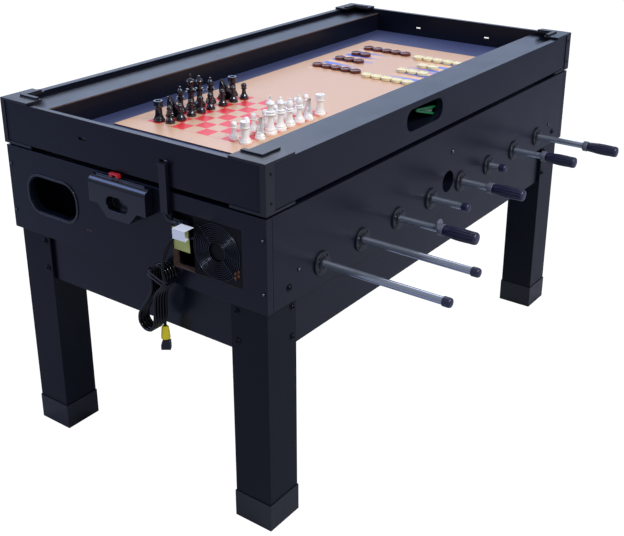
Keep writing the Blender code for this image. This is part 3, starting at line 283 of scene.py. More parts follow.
# Backgammon field: first point's edge, middle line, pitch, bar, outer edge, length, line on the bar
POINTS_X = 0.141
POINTS_Y = -0.0175
POINT_PITCH = 0.0222
POINTS_BAR = 0.018
POINTS_EDGE = 0.1625
POINTS_LENGTH = 0.115
BAR_LINE = 0.007


def printed_board(name, colours, sizes):
    """Game board: wood print with a red chessboard and blue and pale backgammon points."""
    made, tree = started(name)
    spot = add(tree, "TexCoord").outputs["Object"]
    x, y = add(tree, "SeparateXYZ", {0: spot}).outputs[:2]
    across = add(tree, "Math", {0: y, 1: POINTS_Y}, operation="SUBTRACT")
    across = add(tree, "Math", {0: across}, operation="ABSOLUTE")
    # Grain: streaks about 4 mm wide that run along the board, and fine pores among them
    lengthwise = add(tree, "Mapping", {"Vector": spot, "Scale": (3.0, 60.0, 60.0)})
    streak = add(tree, "TexNoise", {"Vector": lengthwise, "Scale": 4.0, "Detail": 6.0,
                                    "Roughness": 0.62, "Distortion": 0.4})
    drawn_out = add(tree, "Mapping", {"Vector": spot, "Scale": (60.0, 900.0, 900.0)})
    pores = add(tree, "TexNoise", {"Vector": drawn_out, "Scale": 1.0, "Detail": 3.0})
    wood, blue = colours.wood_print, (*colours.blue_print, 1.0)
    ground = add(tree, "Mix", {0: streak, 6: shaded(wood, 0.86), 7: shaded(wood, 1.10)},
                 data_type="RGBA")
    ground = add(tree, "Mix", {0: pores, 6: ground, 7: shaded(wood, 0.92)}, data_type="RGBA")
    # Chessboard, in a thin red frame
    side = sizes.square
    centred = add(tree, "Mapping", {"Vector": spot, "Location": (-sizes.chess_x, 0, 0)})
    flat = add(tree, "VectorMath", {0: centred, 1: (1.0, 1.0, 0.0)}, operation="MULTIPLY")
    raised = add(tree, "VectorMath", {0: flat, 1: (0.0, 0.0, side / 2)}, operation="ADD")
    squares = add(tree, "TexChecker", {"Vector": raised, "Scale": 1 / side,
                                       "Color1": (1, 1, 1, 1), "Color2": (0, 0, 0, 1)})
    areas = []
    for reach in (4 * side, 4 * side + CHESS_RIM):
        in_x = add(tree, "Math", {0: x, 1: sizes.chess_x, 2: reach}, operation="COMPARE")
        in_y = add(tree, "Math", {0: y, 1: 0.0, 2: reach}, operation="COMPARE")
        areas.append(add(tree, "Math", {0: in_x, 1: in_y}, operation="MULTIPLY"))
    inside, outside = areas
    red = add(tree, "Math", {0: inside, 1: squares.outputs["Fac"]}, operation="MULTIPLY")
    rim = add(tree, "Math", {0: outside, 1: inside}, operation="SUBTRACT")
    red = add(tree, "Math", {0: red, 1: rim}, operation="MAXIMUM")
    tone = add(tree, "Mix", {0: red, 6: ground, 7: (*colours.red_print, 1.0)}, data_type="RGBA")
    # Backgammon: six points each side of the bar, from both long edges
    middle = POINTS_X + 6 * POINT_PITCH + POINTS_BAR / 2
    past = add(tree, "Math", {0: x, 1: middle}, operation="GREATER_THAN")
    skipped = add(tree, "Math", {0: past, 1: POINTS_BAR}, operation="MULTIPLY")
    along = add(tree, "Math", {0: x, 1: skipped}, operation="SUBTRACT")
    along = add(tree, "Math", {0: along, 1: POINTS_X}, operation="SUBTRACT")
    count = add(tree, "Math", {0: along, 1: POINT_PITCH}, operation="DIVIDE")
    wave = add(tree, "Math", {0: count, 1: 0.5}, operation="PINGPONG")
    wave = add(tree, "Math", {0: wave, 1: 2.0}, operation="MULTIPLY")
    inward = add(tree, "Math", {0: POINTS_EDGE, 1: across}, operation="SUBTRACT")
    inward = add(tree, "Math", {0: inward, 1: POINTS_LENGTH}, operation="DIVIDE")
    point = add(tree, "Math", {0: wave, 1: inward}, operation="GREATER_THAN")
    field = add(tree, "Math", {0: count, 1: 6.0, 2: 6.0}, operation="COMPARE")
    ends = add(tree, "Math", {0: inward, 1: 0.5, 2: 0.5}, operation="COMPARE")
    bar = add(tree, "Math", {0: x, 1: middle, 2: POINTS_BAR / 2}, operation="COMPARE")
    off_bar = add(tree, "Math", {0: 1.0, 1: bar}, operation="SUBTRACT")
    for mask in (field, ends, off_bar):
        point = add(tree, "Math", {0: point, 1: mask}, operation="MULTIPLY")
    number = add(tree, "Math", {0: count}, operation="FLOOR")
    odd = add(tree, "Math", {0: number, 1: 2.0}, operation="MODULO")
    front = add(tree, "Math", {0: y, 1: POINTS_Y}, operation="LESS_THAN")
    other = add(tree, "Math", {0: odd, 1: front}, operation="SUBTRACT")
    other = add(tree, "Math", {0: other}, operation="ABSOLUTE")
    ink = add(tree, "Mix", {0: other, 6: shaded(wood, 1.22), 7: blue}, data_type="RGBA")
    tone = add(tree, "Mix", {0: point, 6: tone, 7: ink}, data_type="RGBA")
    # A blue line down the middle of the bar
    line = add(tree, "Math", {0: x, 1: middle, 2: BAR_LINE / 2}, operation="COMPARE")
    line = add(tree, "Math", {0: line, 1: ends}, operation="MULTIPLY")
    tone = add(tree, "Mix", {0: line, 6: tone, 7: blue}, data_type="RGBA")
    bump = add(tree, "Bump", {"Height": pores, "Distance": 0.03 * MM})
    finished(tree, tone, 0.36, bump, IOR=1.5, Specular_IOR_Level=0.30)
    return made


# Finishes of one colour: a colour setting or a hex value, roughness, grain and relief in mm,
# mottle, and what differs from the usual
SURFACES = {
    # Melamine laminate is pressed against a fine matt plate, so it shows a soft sheen
    "melamine laminate": ("laminate", 0.31, 0.9, 0.012, 0.06, dict(
        spread=0.03, cloud_mm=90.0, IOR=1.5, Specular_IOR_Level=0.24)),
    # Well floor: laminate with a fine grain that scatters the light from above; its colour, lighter
    # and bluer than the boards', is painted sheen of the sky
    "grained laminate": ("434B70", 0.45, 0.5, 0.05, 0.08, dict(
        cloud_mm=70.0, IOR=1.5, Specular_IOR_Level=0.30)),
    # Wrapped legs: the laminate darkened to 0.72 as painted shade under the cabinet, and a little
    # duller than the boards
    "leg foil": ("laminate", 0.36, 0.9, 0.012, 0.06, dict(
        shade=0.72, spread=0.03, cloud_mm=90.0, IOR=1.5, Specular_IOR_Level=0.15)),
    # Board edges in the slots: near-black and dull, painted shade for the dark insides of the slots
    "painted fibreboard": ("15110F", 0.85, 0.9, 0.06, 0.20, dict(
        IOR=1.5, Specular_IOR_Level=0.10)),
    # Moulded ABS with a spark-eroded skin, duller than the laminate
    "moulded ABS": ("plastic", 0.40, 0.7, 0.03, 0.12, dict(IOR=1.53, Specular_IOR_Level=0.40)),
    # The same plastic from a polished mould
    "polished ABS": ("plastic", 0.20, 2.5, 0.01, 0.08, dict(spread=0.03, IOR=1.53)),
    "red ABS": ("slider", 0.30, 0.7, 0.02, 0.05, dict(IOR=1.53)),
    # Bright chromed tube: almost a mirror, with the faint waviness of a drawn tube
    "chromed tube": ("steel", 0.10, 3.0, 0.0005, 0.03, dict(
        spread=0.01, cloud_mm=30.0, Metallic=0.72)),
    # Zinc plated screws: blackened ones, and bright ones that have dulled
    "blackened steel": ("26272C", 0.34, 0.6, 0.02, 0.15, dict(cloud_mm=6.0, Metallic=1.0)),
    "plated steel": ("74767F", 0.30, 0.6, 0.015, 0.10, dict(cloud_mm=8.0, Metallic=1.0)),
    # Guard: wire with a black zinc finish that still glints
    "dark wire": ("4C505B", 0.32, 0.6, 0.01, 0.10, dict(cloud_mm=6.0, Metallic=1.0)),
    # Spade terminals of the fan: stamped brass, darkened by handling
    "brass": ("8C5630", 0.38, 0.6, 0.02, 0.15, dict(cloud_mm=4.0, Metallic=1.0)),
    # Grips and end caps: dark hard rubber with a satin skin; the blue in its colour is painted
    # sheen, standing in for the bluish highlights on the ridges
    "grip rubber": ("191B38", 0.36, 0.8, 0.03, 0.10, dict(
        cloud_mm=12.0, IOR=1.52, Specular_IOR_Level=0.60)),
    "stop rubber": ("101012", 0.65, 0.6, 0.06, 0.12, dict(IOR=1.52)),
    # Moulded nylon: satin grey for the grips' collars
    "grey nylon": ("5C5F6C", 0.30, 0.8, 0.02, 0.06, dict(IOR=1.53)),
    # Fan: unpainted black nylon that swallows nearly all light
    "black nylon": ("050507", 0.50, 0.7, 0.04, 0.10, dict(IOR=1.53, Specular_IOR_Level=0.15)),
    # Men: injection moulded polystyrene, glossy
    "red polystyrene": ("team_red", 0.22, 1.5, 0.01, 0.05, dict(spread=0.03, IOR=1.59)),
    "blue polystyrene": ("team_blue", 0.22, 1.5, 0.01, 0.05, dict(spread=0.03, IOR=1.59)),
    "white polystyrene": ("chess_white", 0.20, 1.5, 0.01, 0.03, dict(
        spread=0.03, IOR=1.59, Subsurface_Weight=0.08, Subsurface_Scale=0.004)),
    "black polystyrene": ("chess_black", 0.12, 1.5, 0.01, 0.05, dict(
        spread=0.03, IOR=1.59, Specular_IOR_Level=0.75)),
    "brown checker plastic": ("checker_brown", 0.24, 1.5, 0.01, 0.08, dict(spread=0.03, IOR=1.53)),
    "cream checker plastic": ("checker_cream", 0.26, 1.5, 0.01, 0.04, dict(spread=0.03, IOR=1.53)),
    # Power cord: soft PVC sheath, glossy on top of a deep black
    "cord PVC": ("030305", 0.13, 0.9, 0.01, 0.10, dict(
        cloud_mm=15.0, IOR=1.53, Specular_IOR_Level=0.26)),
    "yellow PVC": ("F3DC1C", 0.45, 0.9, 0.03, 0.08, dict(cloud_mm=8.0, IOR=1.53)),
    "green polypropylene": ("136A3C", 0.38, 0.9, 0.02, 0.06, dict(IOR=1.49)),
    # Card: uncoated and matt
    "white card": ("FAFBFF", 0.72, 0.8, 0.05, 0.02, dict(IOR=1.5)),
    "yellow card": ("B9BE6E", 0.72, 0.8, 0.05, 0.05, dict(IOR=1.5)),
    "grey card": ("6E8A7C", 0.72, 0.8, 0.05, 0.03, dict(IOR=1.5)),
}
FINISHES = {}


def finish(name):
    """The named finish, made on first use."""
    if name not in FINISHES:
        colours = bpy.context.scene.table_colours
        if name == "raw fibreboard":
            FINISHES[name] = raw_fibreboard(name, colours.raw_board)
        elif name == "field print":
            FINISHES[name] = printed_field(name, colours.field)
        elif name == "board print":
            FINISHES[name] = printed_board(name, colours, bpy.context.scene.table_board)
        else:
            tint, *numbers, others = SURFACES[name]
            colour = getattr(colours, tint) if hasattr(colours, tint) else linear(tint)
            others = dict(others)
            # A shade share darkens the colour: painted shade, as on the legs
            colour = shaded(colour, others.pop("shade", 1.0))
            FINISHES[name] = surface(name, colour, *numbers, **others)
    return FINISHES[name]


def cuboid(shape, x, y, z):
    """A box between low and high places."""
    made = bmesh.ops.create_cube(shape, size=1)["verts"]
    bmesh.ops.scale(shape, vec=(x[1] - x[0], y[1] - y[0], z[1] - z[0]), verts=made)
    bmesh.ops.translate(shape, vec=((x[0] + x[1]) / 2, (y[0] + y[1]) / 2, (z[0] + z[1]) / 2),
                        verts=made)
    return made


def turned(profile, steps):
    """A new shape spun round Z from (radius, height) points."""
    shape = bmesh.new()
    line = [shape.verts.new((radius, 0, height)) for radius, height in profile]
    edges = [shape.edges.new(pair) for pair in zip(line, line[1:])]
    bmesh.ops.spin(shape, geom=line + edges, cent=(0, 0, 0), axis=(0, 0, 1), dvec=(0, 0, 0),
                   angle=math.tau, steps=steps, use_merge=True)
    bmesh.ops.remove_doubles(shape, verts=shape.verts, dist=WELD)
    bmesh.ops.recalc_face_normals(shape, faces=shape.faces)
    return shape


def drawn(outline, height, place=None):
    """A new shape: an outline in the XY plane pulled up to a height."""
    shape = bmesh.new()
    base = shape.faces.new([shape.verts.new((u, v, 0)) for u, v in outline])
    grown = bmesh.ops.extrude_face_region(shape, geom=[base])["geom"]
    lifted = [part for part in grown if isinstance(part, bmesh.types.BMVert)]
    bmesh.ops.translate(shape, verts=lifted, vec=(0, 0, height))
    bmesh.ops.recalc_face_normals(shape, faces=shape.faces)
    if place:
        bmesh.ops.transform(shape, matrix=place, verts=shape.verts)
    return shape


def ease(shape, width, segments=2, limit=SHARP):
    """Rounds over the edges that turn more than the limit."""
    sharp = [edge for edge in shape.edges
             if edge.is_manifold and edge.calc_face_angle(0) > limit]
    if sharp:
        bmesh.ops.bevel(shape, geom=sharp, offset=width, offset_type="OFFSET",
                        segments=segments, profile=0.5, affect="EDGES", material=-1,
                        clamp_overlap=True)
    return shape


def stamp(shape, pattern, places):
    """Adds a copy of the pattern at each place, and frees the pattern."""
    mesh = bpy.data.meshes.new("pattern")
    pattern.to_mesh(mesh)
    pattern.free()
    for place in places:
        first = len(shape.verts)
        shape.from_mesh(mesh)
        shape.verts.ensure_lookup_table()
        bmesh.ops.transform(shape, matrix=place, verts=shape.verts[first:])
    bpy.data.meshes.remove(mesh)
    return shape


def moved(shape, place):
    """The same shape at a place."""
    bmesh.ops.transform(shape, matrix=place, verts=shape.verts)
    return shape


def copied(*nodes):
    """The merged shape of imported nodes, with their flat faces made whole."""
    shape = bmesh.new()
    for node in nodes:
        shape.from_mesh(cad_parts[node].data)
    bmesh.ops.remove_doubles(shape, verts=shape.verts, dist=WELD)
    bmesh.ops.dissolve_limit(shape, angle_limit=FLAT, use_dissolve_boundaries=False,
                             verts=shape.verts, edges=shape.edges)
    return shape


def piece(name, shape, finishes, body, slot, *replaced, limit=CREASE):
    """Makes an object of the shape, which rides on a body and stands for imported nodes."""
    for face in shape.faces:
        face.smooth = True
    for edge in shape.edges:
        edge.smooth = not edge.is_manifold or edge.calc_face_angle(0) < limit
    mesh = bpy.data.meshes.new(name)
    shape.to_mesh(mesh)
    shape.free()
    for one in [finishes] if isinstance(finishes, str) else finishes:
        mesh.materials.append(finish(one))
    made = bpy.data.objects.new(name, mesh)
    bpy.context.scene.collection.objects.link(made)
    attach(made, body)
    if limit < ROUND_CREASE:
        # Large flat faces stay flat in the light beside their eased edges
        even = made.modifiers.new("even normals", "WEIGHTED_NORMAL")
        even.keep_sharp = True
    if replaced:
        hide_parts(*replaced)
    return made


def dressed(name, node, width, finishes, body, slot, segments=2, turn=SHARP, **others):
    """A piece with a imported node's own shape, eased along the edges that turn enough."""
    return piece(name, ease(copied(node), width, segments, turn), finishes, body, slot, node,
                 **others)


def parted(shape, place, way):
    """Parts the faces along the plane through a place, square to a way."""
    bmesh.ops.bisect_plane(shape, geom=shape.verts[:] + shape.edges[:] + shape.faces[:],
                           plane_co=place, plane_no=way)
    return shape


def second_finish(shape, chosen):
    """Gives the second finish to the faces that a test of face and middle chooses."""
    for face in shape.faces:
        if chosen(face, face.calc_center_median()):
            face.material_index = 1
    return shape


def at(x, y, z):
    """A shift."""
    return Matrix.Translation((x, y, z))


def facing(direction):
    """The turn that takes +Z to a direction."""
    return Vector(direction).to_track_quat("Z", "Y").to_matrix().to_4x4()


def rounded(half_l, half_h, corner, steps=8):
    """Outline of a box with round corners, centred, counter-clockwise."""
    points = []
    for quarter, (sx, sy) in enumerate(((1, 1), (-1, 1), (-1, -1), (1, -1))):
        for step in range(steps + 1):
            angle = math.pi / 2 * (quarter + step / steps)
            points.append((sx * (half_l - corner) + corner * math.cos(angle),
                           sy * (half_h - corner) + corner * math.sin(angle)))
    clean = []
    for point in points:
        if not clean or (Vector(point) - Vector(clean[-1])).length > WELD:
            clean.append(point)
    if (Vector(clean[0]) - Vector(clean[-1])).length < WELD:
        clean.pop()
    return clean


def ring_of(outline, width, height):
    """A flat ring outside an outline, lying on the XY plane."""
    inner = [Vector(point) for point in outline]
    outer = []
    for before, here, after in zip(inner[-1:] + inner[:-1], inner, inner[1:] + inner[:1]):
        way = (after - before).normalized()
        outer.append(here + Vector((way.y, -way.x)) * width)
    shape = bmesh.new()
    rows = [[shape.verts.new((*point, z)) for point in loop]
            for loop, z in ((inner, 0), (outer, 0), (outer, height), (inner, height))]
    for low, high in zip(rows, rows[1:] + rows[:1]):
        for step in range(len(low)):
            shape.faces.new((low[step - 1], low[step], high[step], high[step - 1]))
    bmesh.ops.recalc_face_normals(shape, faces=shape.faces)
    return shape


def screw_head(radius, height):
    """A pan head with a cross recess."""
    shape = turned(((0, height), (radius * 0.45, height * 0.96), (radius * 0.78, height * 0.74),
                    (radius, height * 0.32), (radius, 0)), 20)
    for turn in (0, math.pi / 2):
        slot = cuboid(shape, (-radius * 0.55, radius * 0.55), (-radius * 0.11, radius * 0.11),
                      (height * 0.90, height * 1.01))
        bmesh.ops.rotate(shape, verts=slot, cent=(0, 0, 0), matrix=Matrix.Rotation(turn, 3, "Z"))
    return shape


ROD_PITCH = 0.1434
ROD_Z = CABINET_BOTTOM + 0.046
# Men on each rod, the side of its grip, and how far it stands to the front, in travels
ROD_SHARES = ((1, 1, 0.970), (2, 1, 0.843), (3, -1, -0.144), (5, 1, 0.0), (5, -1, -0.155),
              (3, 1, -0.798), (2, -1, -0.507), (1, -1, -0.100))
# A stop ring at the end of its travel stays this far off the field's side wall
STOP_GAP = 0.3 * MM
STOP_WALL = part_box("back_apron")[0].y - STOP_GAP
STOP_T = 0.012
MAN_T = 0.024
MAN_GAP = 1 * MM
TWO_MEN_REACH = 0.120


def rods():
    """Each rod's number, men, travel, grip side, place along X and shift along Y."""
    sizes = bpy.context.scene.table_rods
    travels = {1: sizes.travel_wide, 2: sizes.travel_wide, 3: sizes.travel_three,
               5: sizes.travel_five}
    for index, (men, side, share) in enumerate(ROD_SHARES):
        travel = travels[men]
        x = (index - (len(ROD_SHARES) - 1) / 2) * ROD_PITCH
        yield index + 1, men, travel, side, x, -share * travel


def men_places(men, travel):
    """Where the men stand along their rod, from its middle."""
    if men == 1:
        return (0.0,)
    if men == 2:
        return (-TWO_MEN_REACH, TWO_MEN_REACH)
    reach = STOP_WALL - travel - STOP_T - MAN_GAP - MAN_T / 2
    return tuple(-reach + index * 2 * reach / (men - 1) for index in range(men))


# Floor: half its width, its tone and brightness, and how much of the camera's view is the glow
FLOOR_HALF = 30.0
FLOOR_TONE = "B9BCC6"
FLOOR_GLOW = 1.12
FLOOR_LIFT = 0.93
SKY_TONE = "E6ECFA"
# Name, place, diameter in metres, share of the key lamp's power and colour
LAMPS = (
    ("key", (0.2, -3.2, 3.6), 2.4, 1.0, "F4F6FF"),
    ("fill", (-2.4, 3.3, 3.2), 2.2, 0.60, "9DB6FF"),
    ("rim", (1.8, 2.2, 3.4), 2.4, 0.35, "F4F6FF"),
    ("spark", (-1.3, -2.3, 3.2), 0.30, 0.30, "F4F6FF"),
)
LAMP_AIM = Vector((0, 0, 0.6))
# The sky window's size, rise, colour, and its distance from the point that it looks at
WINDOW_SIZE = (7.5, 3.4)
WINDOW_RISE = math.radians(23)
WINDOW_TONE = "BCD4FF"
WINDOW_AIM = Vector((0, 0, 0.75))
WINDOW_AWAY = 8.0
WHITE = (1, 1, 1, 1)


class TABLE_OT_stage(Operator):
    """Sets the camera, the lamps, the sky and the pale floor"""
    bl_idname = "table.stage"
    bl_label = "Stage"

    def execute(self, context):
        scene = context.scene
        sizes = scene.table_stage
        scene.view_settings.view_transform = "Standard"
        camera = bpy.data.cameras.new("camera")
        camera.sensor_width = 36.0
        camera.sensor_fit = "HORIZONTAL"
        camera.lens = sizes.lens
        camera.shift_y = sizes.drop
        scene.camera = self.held(camera, sizes.eye, self.way(sizes.heading, -sizes.tilt))
        self.floor(scene)
        self.sky(scene, sizes.sky)
        for name, place, size, share, tone in LAMPS:
            lamp = bpy.data.lights.new(name, "AREA")
            lamp.shape = "DISK"
            lamp.size = size
            lamp.energy = sizes.key * share
            lamp.color = linear(tone)[:3]
            self.held(lamp, place, LAMP_AIM - Vector(place))
        # The open sky beyond the far corner, low enough to glance off every top
        lamp = bpy.data.lights.new("sky window", "AREA")
        lamp.shape = "RECTANGLE"
        lamp.size, lamp.size_y = WINDOW_SIZE
        lamp.energy = sizes.glow
        lamp.color = linear(WINDOW_TONE)[:3]
        away = self.way(sizes.heading, WINDOW_RISE)
        self.held(lamp, WINDOW_AIM + away * WINDOW_AWAY, -away).visible_camera = False
        return {"FINISHED"}

    def way(self, heading, rise):
        """The direction of a heading, turned up by a rise."""
        level = math.cos(rise)
        return Vector((math.sin(heading) * level, math.cos(heading) * level, math.sin(rise)))

    def held(self, data, place, look):
        """A camera or lamp at a place, looking along a direction."""
        made = bpy.data.objects.new(data.name, data)
        made.location = place
        made.rotation_euler = look.to_track_quat("-Z", "Y").to_euler()
        bpy.context.scene.collection.objects.link(made)
        return made

    def floor(self, scene):
        """The pale floor, which takes shadows and looks almost white to the camera."""
        shape = bmesh.new()
        bmesh.ops.create_grid(shape, x_segments=1, y_segments=1, size=FLOOR_HALF)
        mesh = bpy.data.meshes.new("floor")
        shape.to_mesh(mesh)
        shape.free()
        made, tree = started("pale studio floor")
        path = add(tree, "LightPath").outputs["Is Camera Ray"]
        lift = add(tree, "Math", {0: path, 1: FLOOR_LIFT}, operation="MULTIPLY")
        matt = add(tree, "BsdfDiffuse", {"Color": linear(FLOOR_TONE)})
        glow = add(tree, "Emission", {"Color": WHITE, "Strength": FLOOR_GLOW})
        mixed = add(tree, "MixShader", {0: lift, 1: matt, 2: glow})
        add(tree, "OutputMaterial", {"Surface": mixed})
        mesh.materials.append(made)
        ground = bpy.data.objects.new("floor", mesh)
        scene.collection.objects.link(ground)

    def sky(self, scene, strength):
        """Soft light from all round, and a white background for the camera."""
        world = bpy.data.worlds.new("studio")
        scene.world = world
        world.use_nodes = True
        tree = world.node_tree
        tree.nodes.clear()
        path = add(tree, "LightPath").outputs["Is Camera Ray"]
        light = add(tree, "Background", {"Color": linear(SKY_TONE), "Strength": strength})
        white = add(tree, "Background", {"Color": WHITE, "Strength": 1.0})
        mixed = add(tree, "MixShader", {0: path, 1: light, 2: white})
        add(tree, "OutputWorld", {"Surface": mixed})


CORNERS = ("near_front", "far_front", "far_back", "near_back")
# How far edges are eased
BOARD_EASE = 0.9 * MM
END_BOARD_EASE = 0.6 * MM
LEG_EASE = 1.2 * MM
BOOT_EASE = 2.0 * MM
PRINT_EASE = 0.4 * MM
# The fan's cut-out: its ends along Y, and the height above which its edges keep the dark laminate
# as painted shade
VENT_Y = (-0.306, -0.129)
VENT_SHADE_Z = 0.588
CHIPS_Y = (0.121, 0.112)
CHIPS_Z = 0.562


class TABLE_OT_boards(Operator):
    """Makes the cabinet's laminated boards, the legs and the boots"""
    bl_idname = "table.boards"
    bl_label = "Cabinet and legs"

    def execute(self, context):
        for node in ("front_apron", "back_apron", "near_apron", "far_apron",
                     "cabinet_back_panel", "cabinet_front_panel"):
            dressed(node + "_board", node, BOARD_EASE, "melamine laminate", "cabinet",
                    "black_laminate", segments=3)
        for node in ("near_field_end_board", "far_field_end_board"):
            dressed(node + "_face", node, END_BOARD_EASE, "melamine laminate", "cabinet",
                    "black_laminate")
        for node in ("cabinet_near_panel", "cabinet_far_panel"):
            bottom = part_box(node)[0].z
            # The cut-out's edges keep the dark laminate down to a height, as painted shade in its
            # upper part; the raw board shows below it
            shape = parted(copied(node), (0, 0, VENT_SHADE_Z), (0, 0, 1))
            second_finish(shape, lambda face, spot: (
                VENT_Y[0] - MM < spot.y < VENT_Y[1] + MM and spot.x < 0
                and abs(face.normal.x) < 0.5 and bottom + MM < spot.z < VENT_SHADE_Z))
            piece(node + "_board", ease(shape, BOARD_EASE, 3),
                  ("melamine laminate", "raw fibreboard"), "cabinet", "black_laminate", node)
        for corner in CORNERS:
            # The legs take the darkened laminate: painted shade under the cabinet
            dressed(f"{corner}_leg_post", f"{corner}_leg", LEG_EASE, "leg foil", "cabinet",
                    "black_laminate", segments=3)
            dressed(f"{corner}_boot_shell", f"{corner}_boot", BOOT_EASE, "moulded ABS", "cabinet",
                    "black_plastic", segments=3)
        dressed("playfield_print", "playfield", PRINT_EASE, "field print", "cabinet",
                "field_green")
        # Two chips in the near end panel's foil, where the raw board shows
        chips = bmesh.new()
        for y in CHIPS_Y:
            chip = turned(in_mm((0, 0), (2.6, 0), (2.2, 0.2), (0, 0.2)), 9)
            stamp(chips, chip, [at(-HALF_L, y, CHIPS_Z) @ facing((-1, 0, 0))])
        piece("panel_chips", chips, "raw fibreboard", "cabinet", "black_laminate")
        return {"FINISHED"}


# Play of a rod in its bushing, and where the flange's four screws sit on it
ROD_PLAY_MM = 0.8
FLANGE_SCREWS_R = 19.3 * MM
FLANGE_SCREWS_RISE = 4.4 * MM
FLANGE_SCREW_R = 3.0 * MM
SMALL_HEAD_H = 1.5 * MM


class TABLE_OT_bushings(Operator):
    """Makes the round flanged bushings that the rods run in, with their screws"""
    bl_idname = "table.bushings"
    bl_label = "Rod bushings"

    def execute(self, context):
        bore = context.scene.table_rods.radius / MM + ROD_PLAY_MM
        profile = in_mm((bore, -10), (bore, 6.6), (bore + 0.6, 7.4), (12.6, 7.4), (13.9, 6.6),
                        (14.3, 4.9), (22.6, 4.5), (24.8, 4.2), (25.7, 3.0), (25.7, 0.05),
                        (20, 0.05), (13, -10), (bore, -10))
        seats = [at(x, side * HALF_W, ROD_Z) @ facing((0, side, 0))
                 for _, _, _, _, x, _ in rods() for side in (-1, 1)]
        spots = []
        for seat in seats:
            for turn in range(4):
                angle = math.radians(45 + 90 * turn)
                spots.append(seat @ at(FLANGE_SCREWS_R * math.cos(angle),
                                       FLANGE_SCREWS_R * math.sin(angle), FLANGE_SCREWS_RISE))
        piece("rod_bushings", stamp(bmesh.new(), turned(profile, 48), seats), "moulded ABS",
              "cabinet", "black_plastic")
        piece("bushing_screws", stamp(bmesh.new(), screw_head(FLANGE_SCREW_R, SMALL_HEAD_H),
                                      spots),
              "blackened steel", "cabinet", "chrome_steel")
        return {"FINISHED"}


# Rods: how far the grip and the bare end keep off the cabinet at the end of the travel
GRIP_GAP = 15 * MM
BARE_OUT = 30 * MM
# How far the tube's ends lie inside the end cap's and the grip's faces
TUBE_IN_CAP = 2 * MM
TUBE_IN_GRIP = 4 * MM
# Stop rings: play of the loose one on its rod, and thickness
RING_PLAY_MM = 0.7
RING_T_MM = STOP_T / MM
# The rod whose collar has a round ear that has turned upwards: its way, reach and place along
EAR_ROD = 3
EAR_WAY = Vector((-0.52, 0, 0.85))
EAR_REACH = 18 * MM
EAR_ALONG = 5 * MM
COLLAR_L = 12 * MM
# The grip's outline: shares of its length and of its radius
GRIP_SHARES = ((0.0, 0.74), (0.03, 0.84), (0.08, 0.85), (0.20, 0.90), (0.36, 0.975), (0.50, 1.0),
               (0.66, 0.99), (0.80, 0.955), (0.90, 0.965), (0.95, 0.94), (0.985, 0.84),
               (1.0, 0.62))
# The flutes' ends, as shares of its length, and their radius as a share of the outline's
FLUTED_SHARES = (0.10, 0.93)
FLUTE_SHARE = 0.90
GRIP_CREASE = math.radians(55)
HEAD_R = 9 * MM
HEAD_FROM_HUB = 12 * MM
BODY_EASE = 3 * MM
LEGS_EASE = 1.6 * MM
# Thickness of a man's legs as a share of the body's
LEGS_SHARE = 0.82


